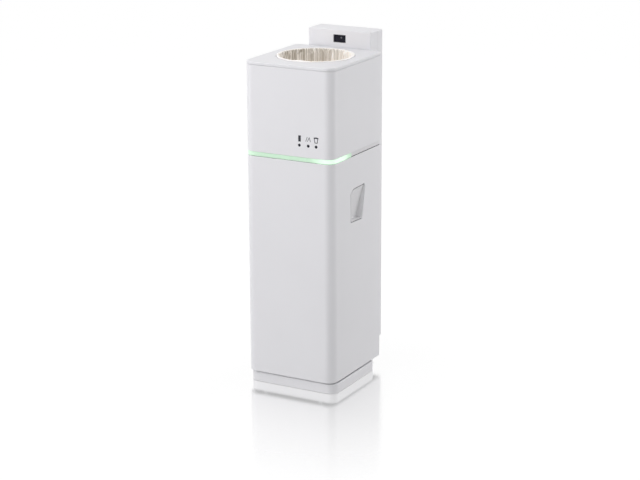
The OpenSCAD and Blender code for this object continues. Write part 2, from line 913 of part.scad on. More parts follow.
module front_rack() {
    arm_y = front_jaw_y;
    outer = pinion_x - pitch_r - 1.25 * gear_m - rack_body;
    color("khaki") from_front() {
        translate([pinion_x - pitch_r, throat_y, rack_z]) rack(5, 13);
        limits(outer, -jaw_half, arm_y, arm_y + jaw_t, rod_z, rack_z - 0.4);
        limits(outer, outer + rack_body, arm_y, arm_y + jaw_t, rod_z, rack_z);
    }
}

module rear_rack() {
    outer = pinion_x + pitch_r + 1.25 * gear_m;
    color("khaki") from_front() {
        translate([pinion_x + pitch_r, throat_y, rack_z]) mirror([1, 0, 0]) rack(13, 5);
        limits(outer, outer + rack_body + 4, rear_jaw_y, rear_jaw_y + jaw_t, jaw_high, rack_z);
    }
}

// Involute tooth side: the point reached when the line has unwound by an angle
base_r = pitch_r * cos(pressure);
tip_r = pitch_r + gear_m;
root_r = pitch_r - 1.25 * gear_m;

function roll_angle(r) = sqrt(max(0, pow(r / base_r, 2) - 1)) * 180 / PI;
function involute_turn(r) = roll_angle(r) - acos(min(1, base_r / r));
function tooth_half(r) = (tooth_pitch / 4 - backlash / 2) / pitch_r * 180 / PI
    + involute_turn(pitch_r) - involute_turn(r);
function polar(r, a) = [r * cos(a), r * sin(a)];

module gear_tooth() {
    steps = 6;
    radii = [for (k = [0 : steps]) base_r + (tip_r - base_r) * k / steps];
    polygon(concat(
        [polar(root_r - 0.5, -tooth_half(base_r))],
        [for (r = radii) polar(r, -tooth_half(r))],
        [for (k = [steps : -1 : 0]) polar(radii[k], tooth_half(radii[k]))],
        [polar(root_r - 0.5, tooth_half(base_r))]
    ));
}

module drive_pinion() {
    gear_z = rack_z - 0.2;
    color("goldenrod") from_front() translate([pinion_x, throat_y, gear_z]) {
        linear_extrude(rack_t + 0.4) {
            circle(root_r);
            for (k = [0 : gear_teeth - 1]) rotate(k * 360 / gear_teeth) gear_tooth();
        }
        cylinder(r = 6, h = end_plate_top - gear_z - 0.4);
        cylinder(r = 3, h = 25);
    }
}

module motor_bracket() {
    color("silver") from_front() difference() {
        limits(-end_plate_w / 2, -94, end_plate_y[0], end_plate_y[1] + end_plate_t,
            end_plate_top, end_plate_top + bracket_t);
        translate([pinion_x, throat_y, 0]) cylinder(r = 9, h = 2000);
    }
}

module drive_motor() {
    z0 = end_plate_top + bracket_t;
    color("gray") from_front() translate([pinion_x, throat_y, 0]) difference() {
        union() {
            translate([0, 0, z0]) cylinder(r = motor_r, h = 20);
            translate([0, 0, z0 + 20]) cylinder(r = motor_r - 1.5, h = motor_top - z0 - 20);
        }
        translate([0, 0, z0 - 1]) cylinder(r = 3 + running, h = 16);
    }
}

// ---- Lid ----

module hinge_ears() {
    color("gray") from_front() both_sides() difference() {
        union() {
            limits(ear_x - ear_w / 2, ear_x + ear_w / 2, body_d - wall - 4.5, body_d - wall,
                lid_z - 25, pivot_z);
            rod_along_x(ear_x, pivot_y, pivot_z, ear_r, ear_w);
        }
        rod_along_x(ear_x, pivot_y, pivot_z, pin_r, ear_w + 2);
    }
}

module hinge_pins() {
    color("silver") from_front() both_sides()
        rod_along_x(ear_x, pivot_y, pivot_z, pin_r, pin_len);
}

module top_lid() {
    slot_w = ear_w + 0.8;
    color("white") from_front() difference() {
        union() {
            translate([0, 0, lid_z]) linear_extrude(lid_t) difference() {
                plan(body_w, 0, pivot_y, front_r, rear_r);
                translate([0, throat_y]) circle(ring_out_r + 1);
            }
            rod_along_x(0, pivot_y, pivot_z, pivot_r, body_w - 2 * rear_r);
        }
        both_sides() {
            limits(ear_x - slot_w / 2, ear_x + slot_w / 2, body_d - 2 * lid_t - 1, pivot_y,
                lid_z - 1, body_top - lid_skin);
            limits(ear_x - slot_w / 2, ear_x + slot_w / 2, pivot_y - 0.5, body_d + 1,
                lid_z - 1, body_top + 1);
            rod_along_x(ear_x, pivot_y, pivot_z, pin_r + running, pin_len + 2);
        }
    }
}

module lid_gasket() {
    color("gray") from_front() translate([0, throat_y, lid_z - 2.6]) difference() {
        cylinder(r = ring_out_r + 7, h = 2.6);
        translate([0, 0, -1]) cylinder(r = ring_out_r + 2, h = 5);
    }
}

base_plate();
rubber_feet();
ballast_plate();
fixed_rails();
latch_magnet();
column_frame();
frame_screws();
column_shell();
column_back();
back_screws();
sensor_bezel();
sensor_window();
sensor_board();
power_inlet();
switch_housing();
power_supply();
control_board();
carbon_filter();
fan_housing();
upper_housing();
deck_plate();
band_carrier();
light_band();
led_strip();
status_icons();
indicator_lenses();
display_board();
seal_end_plates();
guide_rods();
motor_bracket();
drive_motor();
throat_funnel();
funnel_posts();
film_cassette();
film_ring();
film_liner();
hinge_ears();
hinge_pins();
top_lid();
lid_gasket();
casing_shell();
casing_floor();
grip_pockets();
waste_bucket();
moving_rails();
rail_screws();
latch_plate();
middle_rails();
front_jaw();
heater_strip();
front_rack();
rear_jaw();
press_rubber();
rear_rack();
drive_pinion();
fan_impeller();
power_rocker();
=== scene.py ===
"""Looks of a floor-standing sealing waste bin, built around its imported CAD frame."""
import json
import math
import random

import bmesh
import bpy
from bpy.props import FloatProperty, FloatVectorProperty, IntProperty, PointerProperty
from mathutils import Matrix, Vector, noise


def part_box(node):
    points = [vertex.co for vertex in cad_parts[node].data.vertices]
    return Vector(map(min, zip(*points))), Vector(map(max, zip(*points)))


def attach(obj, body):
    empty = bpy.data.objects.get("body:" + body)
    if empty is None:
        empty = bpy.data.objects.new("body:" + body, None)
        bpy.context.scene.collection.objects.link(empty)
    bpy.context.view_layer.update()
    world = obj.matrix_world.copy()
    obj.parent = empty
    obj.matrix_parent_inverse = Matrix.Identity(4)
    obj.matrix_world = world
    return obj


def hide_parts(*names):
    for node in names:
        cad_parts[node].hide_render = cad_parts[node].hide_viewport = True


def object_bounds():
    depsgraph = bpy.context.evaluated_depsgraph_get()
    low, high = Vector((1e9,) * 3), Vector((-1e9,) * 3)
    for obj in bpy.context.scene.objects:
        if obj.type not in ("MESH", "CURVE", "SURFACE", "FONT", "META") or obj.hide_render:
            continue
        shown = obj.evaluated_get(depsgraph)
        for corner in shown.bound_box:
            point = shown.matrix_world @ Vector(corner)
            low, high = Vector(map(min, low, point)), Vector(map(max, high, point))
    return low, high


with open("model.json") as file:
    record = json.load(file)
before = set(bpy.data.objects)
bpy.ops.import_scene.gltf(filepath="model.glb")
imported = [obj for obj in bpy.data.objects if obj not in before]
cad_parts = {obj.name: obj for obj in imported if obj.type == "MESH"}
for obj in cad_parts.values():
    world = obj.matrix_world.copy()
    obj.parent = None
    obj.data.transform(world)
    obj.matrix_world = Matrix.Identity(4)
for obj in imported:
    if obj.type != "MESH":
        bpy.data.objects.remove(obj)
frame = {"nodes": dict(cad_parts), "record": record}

bl_info = {
    "name": "Sealing Waste Bin",
    "version": (1, 0, 0),
    "blender": (4, 5, 0),
    "location": "View3D > Sidebar > Waste Bin",
    "description": "Builds the shells, film, finishes and studio of a sealing waste bin",
    "category": "Add Mesh",
}

CAD_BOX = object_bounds()
SLOT_OF = {row["node"]: row["material_slot"] for row in frame["record"]["subparts"]}
BASE_COLOUR = {row["slot"]: row["base_color"][:3] for row in frame["record"]["materials"]}

# Places that come from the frame
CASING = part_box("casing_shell")
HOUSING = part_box("upper_housing")
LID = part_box("top_lid")
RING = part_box("film_ring")
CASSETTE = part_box("film_cassette")
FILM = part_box("film_liner")
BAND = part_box("light_band")
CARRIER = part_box("band_carrier")
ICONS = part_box("status_icons")
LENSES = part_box("indicator_lenses")
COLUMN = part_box("column_shell")
COLUMN_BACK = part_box("column_back")
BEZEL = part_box("sensor_bezel")
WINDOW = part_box("sensor_window")
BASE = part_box("base_plate")
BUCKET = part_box("waste_bucket")
FRONT = CASING[0].y
THROAT = Vector((0, (RING[0].y + RING[1].y) / 2))
RING_R = (RING[1].x - RING[0].x) / 2
TINY = 0.0001
OVER = 0.001  # How far a cutter reaches past the surface that it cuts


def depth(distance):
    """Y of a place at a distance behind the front face."""
    return FRONT + distance


# ---- Sizes and looks that a user would change ----


class ShellSizes(bpy.types.PropertyGroup):
    """Moulded body: casing, housing and lid"""

    front_corner: FloatProperty(
        name="Front corner", description="Radius of the two front vertical corners",
        default=0.028, unit="LENGTH")
    rear_corner: FloatProperty(
        name="Rear corner", description="Radius of the two rear vertical corners",
        default=0.020, unit="LENGTH")
    wall: FloatProperty(
        name="Wall", description="Thickness of the moulded walls", default=0.003, unit="LENGTH")
    edge: FloatProperty(
        name="Edge", description="Radius of the walls' outer edges", default=0.0012,
        unit="LENGTH")
    lid_edge: FloatProperty(
        name="Lid edge", description="Radius of the lid's upper edge", default=0.0022,
        unit="LENGTH")
    grip_lip: FloatProperty(
        name="Grip lip", description="Radius of the edge round the grip opening",
        default=0.0016, unit="LENGTH")
    grip_depth: FloatProperty(
        name="Grip depth", description="Depth of the grip pocket at its lower end",
        default=0.018, unit="LENGTH")


class ColumnSizes(bpy.types.PropertyGroup):
    """Rear column covers"""

    edge: FloatProperty(
        name="Edge", description="Radius of the column's edges", default=0.003, unit="LENGTH")
    corner: FloatProperty(
        name="Corner", description="Radius of the column's corners, seen from the front",
        default=0.0045, unit="LENGTH")
    wall: FloatProperty(
        name="Wall", description="Thickness of the column covers", default=0.0025,
        unit="LENGTH")


class FilmSizes(bpy.types.PropertyGroup):
    """Pleated film that lines the opening"""

    pleats: IntProperty(
        name="Pleats", description="Number of pleats round the opening", default=74, min=20)
    pleat_depth: FloatProperty(
        name="Pleat depth", description="How far the pleats stand in from the wall",
        default=0.0105, unit="LENGTH")
    thickness: FloatProperty(
        name="Thickness", description="Thickness of the film", default=0.0004, unit="LENGTH")
    hem_wave: FloatProperty(
        name="Hem wave", description="How unevenly the film lies over the ring",
        default=0.0026, unit="LENGTH")


class BandLook(bpy.types.PropertyGroup):
    """Light band round the front"""

    glow: FloatVectorProperty(
        name="Glow", description="Colour of the light where it is dim", subtype="COLOR",
        default=(0.0, 0.02, 0.0))
    bright: FloatVectorProperty(
        name="Bright glow", description="Colour of the light where it is bright",
        subtype="COLOR", default=(0.40, 0.60, 0.42))
    strength: FloatProperty(
        name="Strength", description="Strength of the light band", default=1.0)


class StageLook(bpy.types.PropertyGroup):
    """Camera, floor and lights"""

    distance: FloatProperty(
        name="Distance", description="Distance from the camera to the object's middle",
        default=5.55, unit="LENGTH")
    turn: FloatProperty(
        name="Turn", description="Turn of the camera to the right side",
        default=math.radians(28.70), subtype="ANGLE")
    tilt: FloatProperty(
        name="Tilt", description="Downward tilt of the camera", default=math.radians(16.02),
        subtype="ANGLE")
    roll: FloatProperty(
        name="Roll", description="Roll of the camera", default=math.radians(-0.25),
        subtype="ANGLE")
    lens: FloatProperty(name="Lens", description="Focal length in millimetres", default=107.1)
    floor: FloatVectorProperty(
        name="Floor", description="Colour of the floor", subtype="COLOR",
        default=(0.10, 0.10, 0.10))
    gloss: FloatProperty(
        name="Floor gloss", description="Share of the floor's reflection next to the object",
        default=0.68, subtype="FACTOR")
    reach: FloatProperty(
        name="Reflection reach", description="Distance at which the reflection has faded out",
        default=0.92, unit="LENGTH")
    glow: FloatProperty(
        name="Floor glow", description="The floor's own light, which keeps it plain and pale",
        default=0.96)
    surround: FloatProperty(
        name="Surround", description="Strength of the even light from all sides", default=0.38)


# ---- Shader maths and finishes ----


class Val:
    """A shader socket that takes part in Python expressions."""

    def __init__(self, finish, socket):
        self.finish, self.socket = finish, socket

    def math(self, operation, *values):
        return self.finish.add("ShaderNodeMath", {"operation": operation},
                               dict(enumerate(values)))

    def out(self, name):
        return Val(self.finish, self.socket.node.outputs[name])

    def __add__(self, other):
        return self.math("ADD", self, other)

    def __sub__(self, other):
        return self.math("SUBTRACT", self, other)

    def __rsub__(self, other):
        return self.math("SUBTRACT", other, self)

    def __mul__(self, other):
        return self.math("MULTIPLY", self, other)

    def __truediv__(self, other):
        return self.math("DIVIDE", self, other)

    def __pow__(self, other):
        return self.math("POWER", self, other)

    def __abs__(self):
        return self.math("ABSOLUTE", self)

    def at_least(self, other):
        return self.math("MAXIMUM", self, other)

    def at_most(self, other):
        return self.math("MINIMUM", self, other)

    def step(self, low, high):
        """0 below low, 1 above high, smooth between."""
        return self.finish.add(
            "ShaderNodeMapRange", {"interpolation_type": "SMOOTHSTEP"},
            {"Value": self, "From Min": low, "From Max": high})

    __radd__ = __add__
    __rmul__ = __mul__


class Finish:
    """A material or world whose nodes are added by one method."""

    def __init__(self, owner):
        owner.use_nodes = True
        self.owner = owner
        self.tree = owner.node_tree
        self.tree.nodes.clear()

    def add(self, kind, settings=None, sockets=None, output=0):
        """Adds a node: its settings first, then the values or links of its sockets."""
        node = self.tree.nodes.new(kind)
        for name, value in (settings or {}).items():
            if name == "stops":
                ramp = node.color_ramp
                while len(ramp.elements) < len(value):
                    ramp.elements.new(1)
                for element, (place, colour) in zip(ramp.elements, value):
                    element.position, element.color = place, colour
            else:
                setattr(node, name, value)
        for name, value in (sockets or {}).items():
            if isinstance(value, Val):
                self.tree.links.new(value.socket, node.inputs[name])
            else:
                node.inputs[name].default_value = value
        return Val(self, node.outputs[output]) if node.outputs else node

    def place(self):
        """Object coordinates, in metres."""
        return self.add("ShaderNodeTexCoord", output="Object")

    def across_back(self, place):
        """X and Y of a place."""
        parts = self.add("ShaderNodeSeparateXYZ", None, {0: place})
        return parts, parts.out("Y")

    def noise(self, place, scale, detail=2.0, rough=0.5):
        return self.add("ShaderNodeTexNoise", None, {
            "Vector": place, "Scale": scale, "Detail": detail, "Roughness": rough})

    def stretched(self, place, factors):
        return self.add("ShaderNodeVectorMath", {"operation": "MULTIPLY"},
                        {0: place, 1: factors})

    def mix(self, share, first, second):
        return self.add("ShaderNodeMix", {"data_type": "RGBA"},
                        {0: share, 6: first, 7: second}, 2)

    def bump(self, height, distance, under=None):
        sockets = {"Height": height, "Distance": distance, "Strength": 1.0}
        if under is not None:
            sockets["Normal"] = under
        return self.add("ShaderNodeBump", None, sockets)

    def surface(self, **sockets):
        names = {name.replace("_", " ").title().replace("Ior", "IOR"): value
                 for name, value in sockets.items()}
        shader = self.add("ShaderNodeBsdfPrincipled", None, names)
        self.add("ShaderNodeOutputMaterial", None, {"Surface": shader})
        return self.owner


def shade(colour, factor):
    """A colour made lighter or darker, with alpha."""
    return tuple(min(1.0, c * factor) for c in colour) + (1.0,)


def new_finish(name):
    """An empty material, and the place on the surface in metres."""
    f = Finish(bpy.data.materials.new(name))
    return f, f.place()


def moulded(name, colour, rough=0.42, coat=0.0, mottle=0.02, shine=0.5):
    """Moulded plastic: faint clouding, fine grain, and roughness that varies with handling."""
    f, place = new_finish(name)
    cloud = f.noise(place, 7.0, 3.0)
    smear = f.noise(f.stretched(place, (38.0, 38.0, 9.0)), 1.0, 4.0, 0.6)
    skin = f.noise(place, 2200.0, 2.0, 0.4)
    ripple = f.noise(place, 90.0, 1.0)
    colours = f.mix(cloud, shade(colour, 1 - mottle), shade(colour, 1 + mottle))
    normal = f.bump(skin, 0.00003, under=f.bump(ripple, 0.00006))
    return f.surface(base_color=colours, roughness=rough - 0.05 + smear * 0.1,
                     normal=normal, coat_weight=coat, coat_roughness=0.25,
                     specular_ior_level=shine)


def textured(name, colour, rough=0.6, grain=0.0012, relief=0.00012):
    """Spark-eroded plastic with a coarser pattern and paler high points."""
    f, place = new_finish(name)
    pits = f.add("ShaderNodeTexVoronoi", None, {"Vector": place, "Scale": 1.0 / grain})
    cloud = f.noise(place, 11.0, 3.0)
    scuff = f.noise(f.stretched(place, (60.0, 60.0, 6.0)), 1.0, 5.0, 0.7).step(0.56, 0.72)
    colours = f.mix(cloud, shade(colour, 0.92), shade(colour, 1.06))
    colours = f.mix(scuff * 0.25, colours, shade(colour, 1.5))
    return f.surface(base_color=colours, roughness=rough + scuff * 0.08 - cloud * 0.06,
                     normal=f.bump(pits, relief))


def rubber(name, colour, rough=0.75):
    """Soft rubber with dust in its pores."""
    f, place = new_finish(name)
    pores = f.noise(place, 1600.0, 3.0)
    dust = f.noise(place, 60.0, 4.0, 0.65).step(0.5, 0.75)
    colours = f.mix(dust * 0.35, shade(colour, 1.0), shade([c * 0.6 + 0.14 for c in colour], 1))
    return f.surface(base_color=colours, roughness=rough + dust * 0.12,
                     normal=f.bump(pores, 0.00006))


def metal(name, colour, rough=0.32, along=(900.0, 900.0, 20.0), cast=False):
    """Rolled, drawn or cast metal; along gives how fast the surface changes in each direction."""
    f, place = new_finish(name)
    lines = f.noise(f.stretched(place, along), 1.0, 3.0, 0.6)
    stain = f.noise(place, 24.0, 4.0, 0.6)
    colours = f.mix(stain, shade(colour, 0.86), shade(colour, 1.08))
    if cast:
        lines = f.noise(place, 700.0, 4.0, 0.7)
    return f.surface(base_color=colours, metallic=0.35 if cast else 1.0,
                     roughness=rough + lines * 0.14 + stain * 0.08,
                     normal=f.bump(lines, 0.00012 if cast else 0.000015))


def circuit(name, colour):
    """Solder-masked board: tracks in a paler green and small pads."""
    f, place = new_finish(name)
    tracks = f.add("ShaderNodeTexBrick", {"offset": 0.37, "squash": 0.6}, {
        "Vector": place, "Scale": 260.0, "Mortar Size": 0.03,
        "Color1": (0, 0, 0, 1), "Color2": (0.2, 0.2, 0.2, 1), "Mortar": (1, 1, 1, 1)})
    pads = f.add("ShaderNodeTexVoronoi", None, {"Vector": place, "Scale": 210.0})
    tin = 1.0 - pads.step(0.12, 0.16)
    mask = f.mix(tracks, shade(colour, 0.85), shade(colour, 1.7))
    colours = f.mix(tin, mask, (0.62, 0.6, 0.55, 1))
    return f.surface(base_color=colours, roughness=0.34 + tin * 0.1, metallic=tin * 0.8,
                     normal=f.bump(tin, 0.0001))


def film_finish(name, colour):
    """Thin ivory film: painted brown-grey shade deep in its folds, a faint painted glow that is
    pale on the pleats and dark in the folds, fine creases and a soft shine.
    """
    f, place = new_finish(name)
    fold = f.add("ShaderNodeAttribute", {"attribute_name": "fold"}, output="Fac")
    creases = f.noise(f.stretched(place, (420.0, 420.0, 60.0)), 1.0, 3.0, 0.6)
    cloud = f.noise(f.stretched(place, (60.0, 60.0, 14.0)), 1.0, 3.0)
    pale = f.mix(cloud, shade((0.97, 0.93, 0.88), 0.97), shade((1.0, 0.97, 0.93), 1.0))
    # Painted shade: the colour turns brown-grey where the painted fold shade is high.
    colours = f.mix(fold, pale, shade([c * c * 0.42 for c in colour], 1.0))
    # Painted glow: a faint emission that lights the film from within, pale on the pleats and dark
    # in the folds.
    painted_glow = f.mix(fold, shade((1.0, 0.95, 0.88), 1.0), shade((0.2, 0.13, 0.08), 1.0))
    normal = f.bump(creases, 0.0004)
    return f.surface(base_color=colours, roughness=0.34 + cloud * 0.12, normal=normal,
                     subsurface_weight=0.12, subsurface_radius=(0.004, 0.003, 0.002),
                     subsurface_scale=1.0, emission_color=painted_glow, emission_strength=0.22)


def glass(name, colour):
    """Smoked cover: nearly black and smooth, with a faint shine and the odd fingerprint."""
    f, place = new_finish(name)
    print_marks = f.noise(place, 220.0, 4.0, 0.7).step(0.52, 0.7)
    colours = f.mix(print_marks, shade(colour, 1.0), shade(colour, 1.7))
    return f.surface(base_color=colours, roughness=0.06 + print_marks * 0.12,
                     normal=f.bump(print_marks, 0.000004), specular_ior_level=0.12)


def band_finish(name, colour):
    """Diffusing light band: brightest at the right front corner, with soft lamp spots."""
    look = bpy.context.scene.bin_band
    f, place = new_finish(name)
    across, back = f.across_back(place)
    corner = across.step(0.06, 0.14)
    left = 1.0 - across.step(-0.14, -0.09)
    fade = 1.0 - back.step(depth(0.06), depth(0.112))
    spots = f.noise(place, 70.0, 1.0)
    share = (corner + left * 0.3 + spots * 0.1) * (fade * 0.85 + 0.15)
    glow = f.mix(share.at_most(1.0), shade(look.glow, 1.0), shade(look.bright, 1.0))
    colours = f.mix(spots, shade(colour, 0.94), shade(colour, 1.0))
    return f.surface(base_color=colours, roughness=0.3 + spots * 0.05, emission_color=glow,
                     emission_strength=look.strength,
                     normal=f.bump(f.noise(place, 900.0), 0.00001))


RECIPES = {
    "casing_white": (moulded, {"rough": 0.40, "coat": 0.12}),
    "pocket_white": (moulded, {"rough": 0.5}),
    "inner_white": (moulded, {"rough": 0.5, "mottle": 0.03}),
    "bucket_grey": (textured, {}),
    "film_cream": (film_finish, {}),
    "foot_rubber": (rubber, {}),
    "seal_rubber": (rubber, {"rough": 0.6}),
    "plated_steel": (metal, {"rough": 0.3}),
    "bright_steel": (metal, {"rough": 0.16, "along": (40.0, 900.0, 40.0)}),
    "cast_ballast": (metal, {"rough": 0.55, "cast": True}),
    "screw_black": (metal, {"rough": 0.4, "cast": True}),
    "magnet_grey": (metal, {"rough": 0.5, "cast": True}),
    "aluminium_bar": (metal, {"rough": 0.28, "along": (20.0, 900.0, 900.0)}),
    "heater_film": (metal, {"rough": 0.35, "along": (30.0, 500.0, 500.0)}),
    "brass_gear": (metal, {"rough": 0.25}),
    "motor_metal": (metal, {"rough": 0.35}),
    "rack_plastic": (moulded, {"rough": 0.45, "mottle": 0.04}),
    "dark_plastic": (textured, {"rough": 0.5, "grain": 0.0007, "relief": 0.00005}),
    "fan_black": (textured, {"rough": 0.45, "grain": 0.0007, "relief": 0.00004}),
    "board_green": (circuit, {}),
    "smoked_window": (glass, {}),
    "band_light": (band_finish, {}),
    "strip_white": (moulded, {"rough": 0.3}),
    "icon_black": (moulded, {"rough": 0.5, "mottle": 0.1, "shine": 0.1}),
    "lens_black": (glass, {}),
    "rocker_green": (moulded, {"rough": 0.3, "coat": 0.3, "mottle": 0.05}),
}


def finish_for(slot):
    """The material of a slot, made the first time that a piece asks for it."""
    made = bpy.data.materials.get("bin_" + slot)
    if made is None:
        recipe, settings = RECIPES[slot]
        made = recipe("bin_" + slot, BASE_COLOUR[slot], **settings)
    return made


# ---- Mesh building ----


def round_path(corners, steps=6):
    """Closed path through (u, v, radius) corners, each rounded by its radius."""
    path = []
    for k, (u, v, radius) in enumerate(corners):
        here = Vector((u, v))
        if radius <= 0:
            path.append(here)
            continue
        back = (Vector(corners[k - 1][:2]) - here).normalized()
        ahead = (Vector(corners[(k + 1) % len(corners)][:2]) - here).normalized()
        half = back.angle(ahead) / 2
        centre = here + (back + ahead).normalized() * radius / math.sin(half)
        first = here + back * radius / math.tan(half) - centre
        last = here + ahead * radius / math.tan(half) - centre
        turn = math.atan2(first.x * last.y - first.y * last.x, first.dot(last))
        for step in range(steps + 1):
            path.append(centre + Matrix.Rotation(turn * step / steps, 2) @ first)
    return path


def drawn_in(corners, inset):
    """A convex outline of (u, v, radius) corners, counter-clockwise, drawn in by inset."""
    result = []
    for k, (u, v, radius) in enumerate(corners):
        here = Vector((u, v))
        into = (here - Vector(corners[k - 1][:2])).normalized()
        away = (Vector(corners[(k + 1) % len(corners)][:2]) - here).normalized()
        n1, n2 = Vector((-into.y, into.x)), Vector((-away.y, away.x))
        moved = here + (n1 + n2) * inset / (1 + n1.dot(n2))
        result.append((moved.x, moved.y, max(radius - inset, TINY)))
    return result


def rectangle(u0, u1, v0, v1, low_radius, high_radius):
    """Corners of a rectangle, counter-clockwise; its radii are those at v0 and at v1."""
    return [(u0, v0, low_radius), (u1, v0, low_radius), (u1, v1, high_radius),
            (u0, v1, high_radius)]


def body_corners(box, sizes):
    low, high = box
    return rectangle(low.x, high.x, low.y, high.y, sizes.front_corner, sizes.rear_corner)


def flat_ring(corners, inset, z):
    """Ring in the XY plane."""
    return [Vector((u, v, z)) for u, v in round_path(drawn_in(corners, inset), 10)]


def upright_ring(corners, inset, y):
    """Ring in the XZ plane."""
    return [Vector((u, y, v)) for u, v in round_path(drawn_in(corners, inset))]


def side_ring(corners, inset, x):
    """Ring in the YZ plane; x is a number, or a function of height."""
    path = round_path(drawn_in(corners, inset))
    return [Vector((x(v) if callable(x) else x, u, v)) for u, v in path]


def circle(centre, radius, z, steps=96):
    turns = (2 * math.pi * k / steps for k in range(steps))
    return [Vector((centre.x + radius * math.cos(a), centre.y + radius * math.sin(a), z))
            for a in turns]


def upright_circle(x, z, radius, y, steps):
    """Circle in the XZ plane."""
    return [Vector((x + p.x, y, z + p.y)) for p in circle(Vector((0, 0)), radius, 0, steps)]


def loft(rings, closed=False):
    """Skin over rings of equal length; closed joins the last ring to the first."""
    bm = bmesh.new()
    loops = [[bm.verts.new(p) for p in ring] for ring in rings]
    for first, second in zip(loops, loops[1:] + (loops[:1] if closed else [])):
        for k in range(len(first)):
            after = (k + 1) % len(first)
            bm.faces.new((first[k], first[after], second[after], second[k]))
    if not closed:
        bm.faces.new(reversed(loops[0]))
        bm.faces.new(loops[-1])
    bmesh.ops.recalc_face_normals(bm, faces=bm.faces)
    return bm


def quarter(radius, steps=4):
    """(inset, rise) along a rounded edge, from the full inset to none."""
    angles = (math.pi / 2 * k / steps for k in range(steps + 1))
    return [(radius * (1 - math.sin(a)), radius * (1 - math.cos(a))) for a in angles]


def slab(corners, z0, z1, low_edge, high_edge, ring=flat_ring):
    """Solid between two levels with rounded lower and upper edges."""
    rings = [ring(corners, inset, z0 + rise) for inset, rise in quarter(low_edge)]
    rings += [ring(corners, inset, z1 - rise) for inset, rise in reversed(quarter(high_edge))]
    return loft(rings)


def tube_wall(corners, z0, z1, wall, edge, ring=flat_ring):
    """Open wall that follows an outline, with rounded edges."""
    section = rectangle(0, wall, z0, z1, edge, edge)
    return loft([ring(corners, inset, z) for inset, z in round_path(section, 3)], True)


def lathe(section, centre):
    """Solid of revolution from (radius, height, edge radius) corners."""
    return loft([circle(centre, r, z, 128) for r, z in round_path(section, 4)], True)


def box_solid(x0, x1, y0, y1, z0, z1):
    corners = rectangle(x0, x1, y0, y1, 0, 0)
    return loft([[Vector((u, v, z)) for u, v, _ in corners] for z in (z0, z1)])


def prism(corners, y0, y1):
    """Straight solid along Y."""
    return loft([upright_ring(corners, 0, y) for y in (y0, y1)])


def along_y(x, z, radius, y0, y1, steps=32):
    """Solid rod along Y."""
    return loft([upright_circle(x, z, radius, y, steps) for y in (y0, y1)])


def slot_solid(x, z, width, height, y0, y1):
    """Cutter along Y with round ends."""
    radius = min(width, height) * 0.49
    return prism(rectangle(x - width / 2, x + width / 2, z - height / 2, z + height / 2,
                           radius, radius), y0, y1)


def merged(parts):
    """Several meshes as one."""
    whole = bmesh.new()
    for part in parts:
        mesh = bpy.data.meshes.new("part")
        part.to_mesh(mesh)
        part.free()
        whole.from_mesh(mesh)
        bpy.data.meshes.remove(mesh)
    return whole


def mirrored(bm):
    """The mesh and its mirror image across the middle."""
    other = bm.copy()
    bmesh.ops.scale(other, vec=(-1, 1, 1), verts=other.verts)
    bmesh.ops.reverse_faces(other, faces=other.faces)
    return merged([bm, other])


def scratch(bm):
    mesh = bpy.data.meshes.new("scratch")
    bm.to_mesh(mesh)
    bm.free()
    obj = bpy.data.objects.new("scratch", mesh)
    bpy.context.scene.collection.objects.link(obj)
    return obj


def combined(bm, tools, operation="DIFFERENCE"):
    """The body with the tools cut out of it or joined to it."""
    body, tool = scratch(bm), scratch(merged(tools))
    cut = body.modifiers.new("cut", "BOOLEAN")
    cut.operation, cut.solver, cut.object = operation, "EXACT", tool
    cut.use_self = operation == "UNION"
    shown = body.evaluated_get(bpy.context.evaluated_depsgraph_get())
    mesh = bpy.data.meshes.new_from_object(shown)
    result = bmesh.new()
    result.from_mesh(mesh)
    bmesh.ops.remove_doubles(result, verts=result.verts, dist=0.000002)
    for obj in (body, tool):
        spare = obj.data
        bpy.data.objects.remove(obj)
        bpy.data.meshes.remove(spare)
    bpy.data.meshes.remove(mesh)
    return result


def make_piece(name, bm, slot, body="stand", replaces=None, sharp=32.0, even=True):
    """Turns a mesh into a finished piece that rides on a body.

    It stands for the frame's part of the same name, unless replaces lists other parts or none.
    """
    limit = math.radians(sharp)
    for face in bm.faces:
        face.smooth = True
    for edge in bm.edges:
        edge.smooth = len(edge.link_faces) == 2 and edge.calc_face_angle(0) < limit
    mesh = bpy.data.meshes.new(name)
    bm.to_mesh(mesh)
    bm.free()
    obj = bpy.data.objects.new(name, mesh)
    bpy.context.scene.collection.objects.link(obj)
    mesh.materials.append(finish_for(slot))
    if even:
        mod = obj.modifiers.new("even_faces", "WEIGHTED_NORMAL")
        mod.keep_sharp = True
    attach(obj, body)
    stands_for = [name] if replaces is None else replaces
    if stands_for:
        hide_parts(*stands_for)
    return obj


class BuildStep:
    """Shared by the operators that build a piece."""

    bl_options = {"REGISTER", "UNDO"}

    def execute(self, context):
        self.build(context.scene)
        return {"FINISHED"}


# ---- Waste drawer ----

# Grip outline on the side: distance behind the front face, height and corner radius
GRIP = [(0.110, 0.491, 0.005), (0.180, 0.488, 0.005), (0.198, 0.581, 0.004),
        (0.194, 0.590, 0.003), (0.126, 0.588, 0.007), (0.110, 0.577, 0.006)]
GRIP_CORNERS = [(depth(d), z, r) for d, z, r in GRIP]
GRIP_SLOPE = math.tan(math.radians(8))
VENT_X = [0.015 * k for k in range(-3, 4)]
FAN_Z = 0.620


